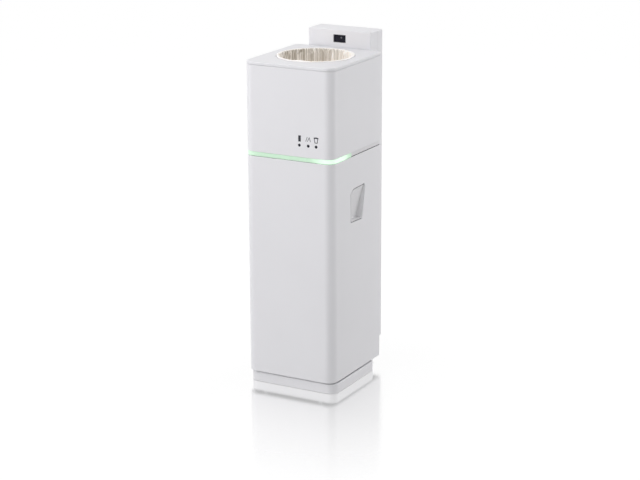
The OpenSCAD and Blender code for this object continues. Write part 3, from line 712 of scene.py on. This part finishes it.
class BIN_OT_casing(BuildStep, bpy.types.Operator):
    """Casing of the waste drawer: outer wall with grips, air slots and rear cut-out"""

    bl_idname = "waste_bin.casing"
    bl_label = "Casing"

    def build(self, scene):
        sizes = scene.bin_shell
        low, high = CASING
        lip, ledge, ledge_t, crease = sizes.grip_lip, 0.010, 0.002, 0.0005
        section = [(0, low.z, sizes.edge), (ledge, low.z, crease),
                   (ledge, low.z + ledge_t, crease), (sizes.wall, low.z + ledge_t, crease),
                   (sizes.wall, high.z, sizes.edge), (0, high.z, sizes.edge)]
        outline = body_corners(CASING, sizes)
        wall = loft([flat_ring(outline, inset, z) for inset, z in round_path(section, 3)], True)
        grip = [side_ring(GRIP_CORNERS, 0, high.x - 2 * sizes.wall)]
        grip += [side_ring(GRIP_CORNERS, -out, high.x - under) for under, out in quarter(lip, 5)]
        grip += [side_ring(GRIP_CORNERS, -lip, high.x + OVER)]
        grips = mirrored(loft(grip))
        vents = [slot_solid(x, FAN_Z, 0.006, 0.090, high.y - sizes.wall - OVER, high.y + OVER)
                 for x in VENT_X]
        skirt_half, skirt_top = 0.110, 0.062
        skirt = box_solid(-skirt_half, skirt_half, high.y - ledge - OVER, high.y + OVER,
                          low.z - OVER, skirt_top)
        make_piece("casing", combined(wall, [grips, skirt] + vents), "casing_white",
                   "waste_drawer", ["casing_shell"])


class BIN_OT_grips(BuildStep, bpy.types.Operator):
    """Grip pockets: trays with a rolled rim and a floor that slopes in towards the bottom"""

    bl_idname = "waste_bin.grips"
    bl_label = "Grip pockets"

    def build(self, scene):
        sizes = scene.bin_shell
        face = CASING[1].x - 0.0006
        foot = min(z for _, z, _ in GRIP_CORNERS)
        skin, bend = 0.0016, 0.0035
        gap, round_off, rim = 0.0023, 0.0009, 0.0044

        def floor(z, rise):
            """X of the sloping floor at a height."""
            return face - sizes.grip_depth + (z - foot) * GRIP_SLOPE + rise

        edge = quarter(round_off, 3)
        rings = [side_ring(GRIP_CORNERS, gap, lambda z: floor(z, -skin))]
        rings += [side_ring(GRIP_CORNERS, gap + turned, face - under) for under, turned in edge]
        rings += [side_ring(GRIP_CORNERS, rim - under, face - turned) for under, turned in edge]
        rings += [side_ring(GRIP_CORNERS, rim + turned,
                            lambda z, rise=rise: min(floor(z, rise), face - 0.001))
                  for rise, turned in quarter(bend)]
        make_piece("grip_pockets", mirrored(loft(rings)), "pocket_white", "waste_drawer")


class BIN_OT_bucket(BuildStep, bpy.types.Operator):
    """Waste bucket with a wide rim and sides that draw in"""

    bl_idname = "waste_bin.bucket"
    bl_label = "Waste bucket"

    def build(self, scene):
        low, high = BUCKET
        wall, floor_t, rim_in, rim_h, corner, draft = 0.0025, 0.003, 0.015, 0.004, 0.036, 0.001
        rim = rectangle(low.x, high.x, low.y, high.y, corner, corner)
        side = drawn_in(rim, rim_in - draft)
        rings = [flat_ring(side, inset + draft, low.z + rise) for inset, rise in quarter(0.006)]
        rings += [flat_ring(side, draft, high.z - 2 * rim_h), flat_ring(side, 0, high.z - rim_h)]
        rings += [flat_ring(rim, inset, high.z - rim_h + rise) for inset, rise in quarter(0.0015)]
        rings += [flat_ring(rim, inset, high.z - rise)
                  for inset, rise in reversed(quarter(0.0015))]
        rings += [flat_ring(side, wall + draft - inset, high.z - rise)
                  for inset, rise in quarter(0.002)]
        rings += [flat_ring(side, wall + draft + inset, low.z + floor_t + rise)
                  for inset, rise in reversed(quarter(0.005))]
        make_piece("waste_bucket", loft(rings), "bucket_grey", "waste_drawer")


# ---- Upper housing, light band and lid ----


ICON_DEPTH = 0.0008
# Strokes of the pictograms, from each one's middle: start (x, z), end (x, z) and width
WARNING = [((0.0007, -0.0088), (0.0007, 0.0088), 0.0082)]
FILM_FOLDS = [((-0.0080, -0.0066), (-0.0032, 0.0060), 0.0016),
              ((-0.0026, -0.0066), (0.0034, 0.0060), 0.0016),
              ((0.0072, -0.0066), (0.0028, 0.0060), 0.0016)]
WASTE = [((-0.0036, -0.0080), (-0.0056, 0.0046), 0.0022),
         ((0.0036, -0.0080), (0.0056, 0.0046), 0.0022),
         ((-0.0042, -0.0080), (0.0042, -0.0080), 0.0020),
         ((-0.0074, 0.0056), (0.0074, 0.0056), 0.0036),
         ((-0.0026, 0.0074), (0.0026, 0.0074), 0.0016)]


def bar(middle, start, end, width, y0, y1):
    """Straight stroke of a pictogram."""
    start, end = middle + Vector(start), middle + Vector(end)
    side = (end - start).orthogonal().normalized() * width / 2
    outline = (start + side, start - side, end - side, end + side)
    return loft([[Vector((u, y, v)) for u, v in outline] for y in (y0, y1)])


def status_glyphs(y0, y1):
    """The pictograms' strokes and the lenses below them."""
    low, high = LENSES
    radius, z = (high.z - low.z) / 2, (high.z + low.z) / 2
    first, last = low.x + radius, high.x - radius
    places = (first, first + (last - first) * 0.533, last)
    up = ICONS[0].z + 0.00825
    icons = [bar(Vector((x, up)), *stroke, y0, y1)
             for x, strokes in zip(places, (WARNING, FILM_FOLDS, WASTE)) for stroke in strokes]
    return icons, [along_y(x, z, radius + 0.0012, y0, y1, 48) for x in places]


def arm_slots(y0, y1):
    """Cutters for the two steel arms that carry the housing."""
    return mirrored(box_solid(0.092, 0.096, y0, y1, 0.703, 0.735))


class BIN_OT_housing(BuildStep, bpy.types.Operator):
    """Upper housing with seats for the status icons and their lenses"""

    bl_idname = "waste_bin.housing"
    bl_label = "Upper housing"

    def build(self, scene):
        sizes = scene.bin_shell
        low, high = HOUSING
        wall = tube_wall(body_corners(HOUSING, sizes), low.z, high.z, sizes.wall,
                         sizes.edge * 1.2)
        icons, lenses = status_glyphs(low.y - OVER, low.y + ICON_DEPTH)
        body = combined(wall, [arm_slots(high.y - sizes.wall - OVER, high.y + OVER)])
        for seat in icons + lenses:
            body = combined(body, [seat])
        make_piece("upper_housing", body, "casing_white")


class BIN_OT_status_icons(BuildStep, bpy.types.Operator):
    """Three flush pictograms, each with a round lens below it"""

    bl_idname = "waste_bin.status_icons"
    bl_label = "Status icons"

    def build(self, scene):
        near = HOUSING[0].y
        icons, lenses = status_glyphs(near + 0.00005, near + ICON_DEPTH)
        make_piece("status_icons", combined(icons[0], icons[1:], "UNION"), "icon_black",
                   even=False)
        make_piece("indicator_lenses", merged(lenses), "lens_black", even=False)


def front_path(corners, end_y):
    """(place, outward direction) along an outline's front, from the left end to the right."""
    radius, steps = corners[0][2], 12
    half, near = corners[1][0], corners[0][1]
    path = [(Vector((-half, end_y, 0)), Vector((-1, 0, 0)))]
    for side, start in ((-1, math.pi), (1, 1.5 * math.pi)):
        centre = Vector((side * (half - radius), near + radius, 0))
        for k in range(steps + 1):
            a = start + math.pi / 2 * k / steps
            out = Vector((math.cos(a), math.sin(a), 0))
            path.append((centre + out * radius, out))
    return path + [(Vector((half, end_y, 0)), Vector((1, 0, 0)))]


class BIN_OT_light_band(BuildStep, bpy.types.Operator):
    """Light band round the front and both front corners, and the ring that carries it"""

    bl_idname = "waste_bin.light_band"
    bl_label = "Light band"

    def build(self, scene):
        low, high = BAND
        outline = body_corners(CASING, scene.bin_shell)
        gap, band_t, edge = CASING[1].x - high.x, 0.0046, 0.0012
        section = round_path(rectangle(gap, gap + band_t, low.z, high.z, edge, edge), 3)
        rings = [[place - out * inset + Vector((0, 0, z)) for inset, z in section]
                 for place, out in front_path(outline, high.y)]
        make_piece("light_band", loft(rings), "band_light")
        low, high = CARRIER
        carrier = tube_wall(drawn_in(outline, band_t), low.z - 0.0003, high.z, 0.008, 0.0002)
        make_piece("band_carrier", carrier, "pocket_white")


class BIN_OT_lid(BuildStep, bpy.types.Operator):
    """Lid: a flat plate with a round opening and a rounded rear edge that turns in the hinge"""

    bl_idname = "waste_bin.lid"
    bl_label = "Lid"

    def build(self, scene):
        sizes = scene.bin_shell
        low, high = LID
        half, middle = (high.z - low.z) / 2, (high.z + low.z) / 2
        rings = []
        for k in range(25):
            angle = math.pi * (k / 24 - 0.5)
            rise = half * math.sin(angle)
            rear = half * (1 - math.cos(angle))
            edge = sizes.lid_edge if rise > 0 else 0.0018
            over = max(abs(rise) - (half - edge), 0)
            inset = edge - math.sqrt(max(edge * edge - over * over, 0))
            corners = rectangle(low.x + inset, high.x - inset, low.y + inset, high.y - rear,
                                sizes.front_corner - inset, sizes.rear_corner - inset)
            rings.append([Vector((u, v, middle + rise)) for u, v in round_path(corners, 10)])
        flare, room = 0.0012, 0.001
        mouth = [(0, low.z - OVER), (0, low.z), (0.7, low.z + flare * 0.3), (1, low.z + flare),
                 (1, high.z - flare), (0.9, high.z - flare * 0.55),
                 (0.55, high.z - flare * 0.15), (0, high.z), (0, high.z + OVER)]
        body = combined(loft(rings), [loft([
            circle(THROAT, RING_R + room + flare - flare * share, z) for share, z in mouth])])
        ear_x, ear_half, ear_front, skin = 0.065, 0.0054, 0.019, 0.0008
        for x in (-ear_x, ear_x):
            x0, x1 = x - ear_half, x + ear_half
            body = combined(body, [box_solid(x0, x1, high.y - ear_front, high.y - half,
                                             low.z - OVER, high.z - skin)])
            body = combined(body, [box_solid(x0, x1, high.y - half - 0.0005, high.y + OVER,
                                             low.z - 0.0012, high.z + OVER)])
        make_piece("lid", body, "casing_white", "lid", ["top_lid"])


# ---- Film ring, cassette and film ----


class BIN_OT_film_ring(BuildStep, bpy.types.Operator):
    """Film ring and the film cassette that it presses on"""

    bl_idname = "waste_bin.film_ring"
    bl_label = "Film ring and cassette"

    def build(self, scene):
        low, high = RING
        inner, outer = RING_R - 0.0065, RING_R
        bead = (outer - inner) / 2 - 0.0001
        ring = [(inner, low.z, 0.0005), (outer - 0.0003, low.z, 0.0005),
                (outer, high.z, bead), (inner, high.z, bead)]
        make_piece("film_ring", lathe(ring, THROAT), "casing_white")
        low, high = CASSETTE
        reach = (high.x - low.x) / 2
        seam, groove, bore = low.z + 0.038, 0.0012, 0.106
        pack = [(bore, low.z, 0.0006), (reach - 0.001, low.z, 0.002),
                (reach - 0.001, seam, 0.0004), (reach - 0.0025, seam, 0.0002),
                (reach - 0.0025, seam + groove, 0.0002), (reach, seam + groove, 0.0004),
                (reach, high.z - 0.004, 0.003), (reach - 0.004, high.z, 0.003),
                (0.121, high.z, 0.0005), (0.120, high.z - 0.0012, 0.0005),
                (0.114, high.z - 0.0012, 0.0005), (0.1135, high.z, 0.0004),
                (bore, high.z, 0.0006)]
        make_piece("film_cassette", lathe(pack, THROAT), "inner_white")


# Hump where the film stands out from its wall: place and width in degrees round the opening,
# row and height in rows of the section, how far it stands in, and how far it lifts
HUMP_AT, HUMP_WIDE, HUMP_ROW, HUMP_TALL, HUMP_IN, HUMP_LIFT = 275.0, 11.0, 8, 5.0, 0.006, 0.003
# How many steps a pleat wanders sideways, its depth as slack, and its lift over the ring
DRIFT, SLACK, PLEAT_LIFT = 26, 0.0012, 0.0011
# Share of the wide pleats and of the narrow folds between them
PLEAT_SHARE, FOLD_SHARE = 0.70, 0.30


def pleat_heights(count, turns, seed):
    """Height of the pleats at each step round the opening: narrow ridges, wide valleys."""
    draw = random.Random(seed)
    widths = [draw.uniform(0.45, 1.65) for _ in range(count)]
    ridges = [draw.uniform(0.25, 1.0) ** 1.2 for _ in range(count)]
    heights, k, start = [], 0, 0.0
    scale = turns / sum(widths)
    for step in range(turns):
        while step >= start + widths[k] * scale and k < count - 1:
            start += widths[k] * scale
            k += 1
        t = min((step - start) / (widths[k] * scale), 1.0)
        ridge = ridges[k] * (1 - t) + ridges[(k + 1) % count] * t
        heights.append(ridge * (1 - math.sin(math.pi * t)) ** 1.15)
    return heights


class BIN_OT_film(BuildStep, bpy.types.Operator):
    """Film: a gathered tube that folds over the ring, hangs in pleats and closes at the jaws"""

    bl_idname = "waste_bin.film"
    bl_label = "Film"

    def section(self):
        """(radius, height, pleat share) from the hem over the ring and down to the seal."""
        bead, above = 0.00325, 0.0004
        top = Vector((RING_R - bead, RING[1].z - bead))
        lay = bead + above
        wall_foot, neck_z = 0.886, 0.792
        rows = []
        for k in range(9):
            a = math.radians(48 - 138 * k / 8)
            rows.append((top.x + lay * math.sin(a), top.y + lay * math.cos(a),
                         0.06 + 0.50 * (k / 8) ** 2))
        wall_r, neck_r = RING_R - 0.0078, 0.0655
        levels = 16
        for k in range(1, levels + 1):
            t = k / levels
            z = top.y + (wall_foot - top.y) * t
            rows.append((rows[8][0] + (wall_r - rows[8][0]) * min(3 * t, 1), z,
                         0.56 + 0.44 * min(t * 2.5, 1)))
        for k in range(1, 11):
            t = k / 10
            rows.append((wall_r + (neck_r - wall_r) * t,
                         wall_foot + (neck_z - wall_foot) * t, 1.0))
        return rows

    def painted_shade_share(self, out, row, count):
        """Share of painted shade in a fold: most at the left, away from the light, none at the
        hem, less further down.
        """
        side = 0.86 - 0.46 * out.x
        return side * min(max(row - 3, 0) / 4, 1) * (1 - 0.5 * row / count)

    def build(self, scene):
        sizes = scene.bin_film
        turns, hem_rows = 640, 9
        pleats = pleat_heights(sizes.pleats, turns, 11)
        folds = pleat_heights(int(sizes.pleats * 2.3), turns, 5)
        rows = self.section()
        outer, inner, painted_shade_rows = [], [], []
        for row, (radius, z, share) in enumerate(rows):
            near, far, painted_row_shade = [], [], []
            for k in range(turns):
                a = 2 * math.pi * k / turns
                out = Vector((math.cos(a), math.sin(a), 0))
                drift = noise.noise(Vector((out.x * 6, out.y * 6, z * 3))) * DRIFT
                lean = drift * min(max(row - 4, 0) / 7, 1)
                pleat = (pleats[int(k + lean) % turns] * PLEAT_SHARE
                         + folds[int(k + lean * 0.6) % turns] * FOLD_SHARE)
                wave = noise.noise(out * 2.3 + Vector((4.1, 0, 0)))
                slack = noise.noise(Vector((out.x * 7, out.y * 7, z * 45))) * SLACK
                hump = math.exp(-((math.degrees(a) - HUMP_AT) / HUMP_WIDE) ** 2)
                hump *= math.exp(-((row - HUMP_ROW) / HUMP_TALL) ** 2)
                inward = share * (sizes.pleat_depth * pleat + max(slack, -SLACK / 4))
                inward += HUMP_IN * hump
                lift = HUMP_LIFT * hump
                if row < hem_rows:
                    lift += (1 - abs(row - 4) / 5) * (
                        PLEAT_LIFT * pleat + max(wave, 0) * sizes.hem_wave * 0.4)
                # Painted shade: darker in the pleat valleys and on the left, kept on each point
                # for the film's colour and glow.
                painted_row_shade.append(min((1 - pleat) ** 3 * self.painted_shade_share(out, row, len(rows)), 1))
                edge = wave * sizes.hem_wave * max(0, 1 - row / 4)
                for skin, ring in ((0.0, near), (sizes.thickness, far)):
                    r = radius - inward - edge - (skin if row > 6 else skin * row / 7)
                    up = z + lift + skin * max(0, 1 - row / hem_rows)
                    ring.append(Vector((THROAT.x + out.x * r, THROAT.y + out.y * r, up)))
            outer.append(near)
            inner.append(far)
            painted_shade_rows.append(painted_row_shade)
        seal_z, seal_half, neck = FILM[0].z + 0.0010, 0.060, 0.066
        seal_rows = (0.35, 0.7, 1.0)
        for rings, rise in ((outer, 0.0), (inner, sizes.thickness)):
            last = rings[-1]
            for t in seal_rows:
                rings.append([Vector((
                    p.x * (1 - t) + max(-1, min(1, p.x / neck)) * seal_half * t,
                    THROAT.y + (p.y - THROAT.y) * ((1 - t) ** 1.2 + 0.012 * t),
                    p.z + (seal_z + rise - p.z) * t)) for p in last])
        # Painted shade for the seal rows.
        painted_shade_rows += [[0.6] * turns for _ in seal_rows]
        bm = bmesh.new()
        # Layer that carries the painted fold shade to the film's finish.
        fold = bm.verts.layers.float.new("fold")
        loops = [[bm.verts.new(p) for p in ring]
                 for ring in list(reversed(outer)) + inner]
        shades = list(reversed(painted_shade_rows)) + painted_shade_rows
        for loop, row_shades in zip(loops, shades):
            for vert, painted_shade in zip(loop, row_shades):
                vert[fold] = painted_shade
        for first, second in zip(loops, loops[1:]):
            for k in range(turns):
                after = (k + 1) % turns
                bm.faces.new((first[k], first[after], second[after], second[k]))
        half = turns // 2
        for loop in (loops[0], loops[-1]):
            for k in range(half):
                corners = [loop[k], loop[k + 1], loop[(turns - k - 1) % turns],
                           loop[(turns - k) % turns]]
                bm.faces.new(list(dict.fromkeys(corners)))
        bmesh.ops.recalc_face_normals(bm, faces=bm.faces)
        film = make_piece("film_liner", bm, "film_cream", sharp=75.0, even=False)


# ---- Rear column ----


def column_corners(box, sizes):
    low, high = box
    return rectangle(low.x, high.x, low.z, high.z, sizes.corner, sizes.corner)


def cover(box, sizes, open_y, face_y):
    """Box-shaped cover that is open on one side."""
    corners = column_corners(box, sizes)
    way = 1 if face_y > open_y else -1
    seam = 0.0005
    rings = [upright_ring(corners, sizes.wall, face_y - way * sizes.wall),
             upright_ring(corners, sizes.wall, open_y)]
    rings += [upright_ring(corners, seam, open_y), upright_ring(corners, 0, open_y + way * seam)]
    rings += [upright_ring(corners, inset, face_y - way * rise)
              for inset, rise in reversed(quarter(sizes.edge, 5))]
    return loft(rings)


class BIN_OT_column(BuildStep, bpy.types.Operator):
    """Column covers: front shell with the sensor opening, back shell with louvres"""

    bl_idname = "waste_bin.column"
    bl_label = "Column covers"

    def build(self, scene):
        sizes = scene.bin_column
        low, high = COLUMN
        bezel_low, bezel_high = BEZEL
        frame_corners = rectangle(bezel_low.x - TINY, bezel_high.x + TINY, bezel_low.z - TINY,
                                  bezel_high.z + TINY, 0.0012, 0.0012)
        window = prism(frame_corners, low.y - OVER, low.y + 0.02)
        foot = box_solid(-0.097, 0.097, depth(0.312), high.y + OVER, low.z - OVER, low.z + 0.005)
        arms = arm_slots(low.y - OVER, depth(0.3125))
        air = along_y(0, FAN_Z, 0.056, low.y - OVER, depth(0.3135), 64)
        front = cover(COLUMN, sizes, high.y, low.y)
        make_piece("column_shell", combined(front, [window, foot, arms, air]), "casing_white")

        low, high = COLUMN_BACK
        back = (high.y - sizes.wall - OVER, high.y + OVER)
        tools = [slot_solid(0, FAN_Z + 0.012 * k, 0.100, 0.005, *back) for k in range(-4, 5)]
        inlet = rectangle(-0.0461, -0.0179, 0.0939, 0.1161, 0.001, 0.001)
        rocker = rectangle(0.0209, 0.0431, 0.0959, 0.1141, 0.001, 0.001)
        tools += [prism(corners, *back) for corners in (inlet, rocker)]
        cover_back = cover(COLUMN_BACK, sizes, depth(0.3524), high.y)
        posts, wells = [], []
        for x in (-0.090, 0.090):
            for z in (0.100, 0.520, 0.940):
                posts.append(along_y(x, z, 0.005, depth(0.3471), high.y - 0.002))
                wells.append(along_y(x, z, 0.0041, high.y - 0.002, high.y + OVER))
                wells.append(along_y(x, z, 0.00178, depth(0.340), high.y - 0.0015))
        body = combined(cover_back, posts, "UNION")
        body = combined(body, tools)
        body = combined(body, wells[0::2])
        body = combined(body, wells[1::2])
        make_piece("column_back", body, "casing_white")


class BIN_OT_sensor(BuildStep, bpy.types.Operator):
    """Hand sensor: dark bezel, smoked cover and a small eye on it"""

    bl_idname = "waste_bin.sensor"
    bl_label = "Hand sensor"

    def build(self, scene):
        low, high = BEZEL
        corners = rectangle(low.x, high.x, low.z, high.z, 0.0011, 0.0011)
        rim = tube_wall(corners, low.y, high.y, 0.001, 0.0002, upright_ring)
        make_piece("sensor_bezel", rim, "dark_plastic")
        low, high = WINDOW
        corners = rectangle(low.x + TINY, high.x - TINY, low.z + TINY, high.z - TINY, 0.0006,
                            0.0006)
        make_piece("sensor_window", slab(corners, low.y, high.y, 0.0003, 0.0003, upright_ring),
                   "smoked_window")
        x, z = (low.x + high.x) / 2 + 0.004, (low.z + high.z) / 2 + 0.0025
        dome = ((0.0026, -0.0004), (0.0026, 0.0002), (0.0022, 0.0006), (0.0013, 0.0009),
                (0.0005, 0.0010))
        rings = [upright_circle(x, z, radius, low.y - proud, 32) for radius, proud in dome]
        make_piece("sensor_eye", loft(rings), "dark_plastic", replaces=())


# ---- Base ----


class BIN_OT_base(BuildStep, bpy.types.Operator):
    """Base with the tongue that carries the column, and its rubber feet"""

    bl_idname = "waste_bin.base"
    bl_label = "Base and feet"

    def build(self, scene):
        low, high = BASE
        rear, tongue_z, wall, ground_gap = depth(0.264), 0.021, 0.004, 0.0008
        plate = rectangle(low.x, high.x, low.y, rear, 0.026, 0.018)
        tongue = rectangle(-0.086, 0.086, depth(0.240), high.y, 0.002, 0.014)
        body = combined(slab(plate, ground_gap, high.z, 0.0008, 0.0045),
                        [slab(tongue, low.z, tongue_z, 0.0015, 0.0018)], "UNION")
        hollow = loft([flat_ring(plate, wall, z) for z in (-OVER, high.z - wall)])
        body = combined(body, [hollow])
        boss_r = 0.016
        spots = [Vector((side * x, depth(d))) for side in (-1, 1)
                 for x, d in ((0.115, 0.038), (0.115, 0.238), (0.070, 0.350))]
        bosses = [loft([circle(s, boss_r, z, 48) for z in (low.z, high.z - wall + 0.001)])
                  for s in spots if s.y < rear]
        body = combined(body, bosses, "UNION")
        make_piece("base_plate", body, "casing_white")
        feet = [loft([circle(s, r, z, 48) for r, z in (
            (0.0085, 0.0008), (0.0100, 0.0), (0.0132, 0.0), (0.0138, 0.0003), (0.0140, 0.0009),
            (0.0140, low.z - 0.0004), (0.0136, low.z))]) for s in spots]
        make_piece("rubber_feet", merged(feet), "foot_rubber")


class BIN_OT_inner_parts(BuildStep, bpy.types.Operator):
    """Finishes for the frame's own parts that stay in view"""

    bl_idname = "waste_bin.inner_parts"
    bl_label = "Inner parts"

    def build(self, scene):
        for name, obj in frame["nodes"].items():
            if obj.hide_render:
                continue
            finish = finish_for(SLOT_OF[name])
            for slot in obj.material_slots:
                slot.material = finish


# ---- Stage ----


AIM = (0.0201, -0.0422, 0.4151)  # What the camera looks at
LAMP_SIZE, LAMP_AWAY, LAMP_MIDDLE = 1.8, 3.2, Vector((0, 0, 0.5))
LAMP_COLOUR = (1.0, 0.985, 1.01)
# Name, turn from the front to the right in degrees, rise in degrees, and watts
LAMPS = (("key_high", -6, 38, 16), ("key_left", -52, 8, 23), ("front_fill", 0, 2, 16),
         ("right_side", 122, 2, 25), ("rear_high", 150, 38, 17), ("left_high", -90, 62, 24))


class BIN_OT_stage(BuildStep, bpy.types.Operator):
    """Floor, soft lights and camera"""

    bl_idname = "waste_bin.stage"
    bl_label = "Stage"

    def floor_finish(self, look):
        f, place = new_finish("studio_floor")
        across, back = f.across_back(place)
        half_w, half_d = CAD_BOX[1].x, CAD_BOX[1].y
        out_x = (abs(across) - half_w).at_least(0.0)
        out_y = (abs(back) - half_d).at_least(0.0)
        away = (out_x * out_x + out_y * out_y) ** 0.5
        grain = f.noise(place, 180.0, 3.0)
        fade = (1.0 - away / look.reach).at_least(0.0) ** 1.6
        matt = f.add("ShaderNodeBsdfPrincipled", None, {
            "Base Color": f.mix(grain, shade(look.floor, 0.99), shade(look.floor, 1.01)),
            "Roughness": 0.9, "Specular IOR Level": 0.0,
            "Emission Color": (1, 1, 1, 1), "Emission Strength": look.glow})
        shine = f.add("ShaderNodeBsdfAnisotropic", None, {
            "Color": (0.97, 0.97, 0.97, 1), "Roughness": 0.13})
        both = f.add("ShaderNodeMixShader", None, {0: fade * look.gloss, 1: matt, 2: shine})
        f.add("ShaderNodeOutputMaterial", None, {"Surface": both})
        return f.owner

    def softbox(self, name, turn, rise, watts):
        """Soft lamp round the object's middle, hidden from the camera."""
        lamp = bpy.data.lights.new(name, "AREA")
        lamp.shape, lamp.size, lamp.energy, lamp.color = "SQUARE", LAMP_SIZE, watts, LAMP_COLOUR
        a, e = math.radians(turn), math.radians(rise)
        away = Vector((math.sin(a) * math.cos(e), -math.cos(a) * math.cos(e), math.sin(e)))
        obj = bpy.data.objects.new(name, lamp)
        obj.visible_camera = False
        obj.location = LAMP_MIDDLE + away * LAMP_AWAY
        obj.rotation_euler = (-away).to_track_quat("-Z", "Y").to_euler()
        bpy.context.scene.collection.objects.link(obj)

    def sweep(self, scene, finish):
        """Round studio sweep: a floor that curves up into a wall and a dome."""
        reach, bend, rise, crown, sides = 40.0, 12.0, 30.0, 20.0, 48
        bm = bmesh.new()
        profile = [(0.6, 0), (2.0, 0), (8.0, 0), (reach - bend, 0)]
        profile += [(reach - bend + bend * math.sin(a), bend * (1 - math.cos(a)))
                    for a in (math.pi / 16 * k for k in range(1, 9))]
        profile += [(reach * math.cos(a), rise + crown * math.sin(a))
                    for a in (math.pi / 16 * k for k in range(8))]
        loops = [[bm.verts.new(p) for p in circle(Vector((0, 0)), r, z, sides)]
                 for r, z in profile]
        bm.faces.new(loops[0])
        bm.faces.new(reversed(loops[-1]))
        for first, second in zip(loops, loops[1:]):
            for k in range(sides):
                after = (k + 1) % sides
                bm.faces.new((first[k], second[k], second[after], first[after]))
        for face in bm.faces:
            face.smooth = True
        mesh = bpy.data.meshes.new("floor")
        bm.to_mesh(mesh)
        bm.free()
        floor = bpy.data.objects.new("floor", mesh)
        floor.visible_diffuse = floor.visible_shadow = False
        scene.collection.objects.link(floor)
        mesh.materials.append(finish)

    def build(self, scene):
        look = scene.bin_stage
        scene.view_settings.view_transform = "Standard"
        self.sweep(scene, self.floor_finish(look))

        world = bpy.data.worlds.new("studio")
        scene.world = world
        sky = Finish(world)
        light = sky.add("ShaderNodeBackground", None, {
            "Color": (1, 1, 1, 1), "Strength": look.surround})
        sky.add("ShaderNodeOutputWorld", None, {"Surface": light})
        for name, turn, rise, watts in LAMPS:
            self.softbox(name, turn, rise, watts)

        camera = bpy.data.cameras.new("camera")
        camera.sensor_width, camera.lens = 36.0, look.lens
        view = bpy.data.objects.new("camera", camera)
        turn = (Matrix.Rotation(look.turn, 4, "Z")
                @ Matrix.Rotation(math.pi / 2 - look.tilt, 4, "X")
                @ Matrix.Rotation(look.roll, 4, "Z"))
        view.matrix_world = (Matrix.Translation(AIM) @ turn
                             @ Matrix.Translation((0, 0, look.distance)))
        scene.collection.objects.link(view)
        scene.camera = view


class BIN_PT_panel(bpy.types.Panel):
    """Build steps of the waste bin"""

    bl_label = "Waste Bin"
    bl_idname = "BIN_PT_panel"
    bl_space_type = "VIEW_3D"
    bl_region_type = "UI"
    bl_category = "Waste Bin"

    def draw(self, context):
        for group in GROUPS:
            settings = getattr(context.scene, group)
            box = self.layout.box()
            for name in settings.__annotations__:
                box.prop(settings, name)
        for step in STEPS:
            self.layout.operator(step.bl_idname)


GROUPS = {"bin_shell": ShellSizes, "bin_column": ColumnSizes, "bin_film": FilmSizes,
          "bin_band": BandLook, "bin_stage": StageLook}
STEPS = (BIN_OT_casing, BIN_OT_grips, BIN_OT_bucket, BIN_OT_housing, BIN_OT_status_icons,
         BIN_OT_light_band, BIN_OT_lid, BIN_OT_film_ring, BIN_OT_film, BIN_OT_column,
         BIN_OT_sensor, BIN_OT_base, BIN_OT_inner_parts, BIN_OT_stage)
CLASSES = (*GROUPS.values(), *STEPS, BIN_PT_panel)


def register():
    for cls in CLASSES:
        bpy.utils.register_class(cls)
    for name, group in GROUPS.items():
        setattr(bpy.types.Scene, name, PointerProperty(type=group))


def unregister():
    for name in GROUPS:
        delattr(bpy.types.Scene, name)
    for cls in reversed(CLASSES):
        bpy.utils.unregister_class(cls)


def main():
    register()
    for step in STEPS:
        getattr(bpy.ops.waste_bin, step.bl_idname.split(".")[1])()


if __name__ == "__main__":
    main()
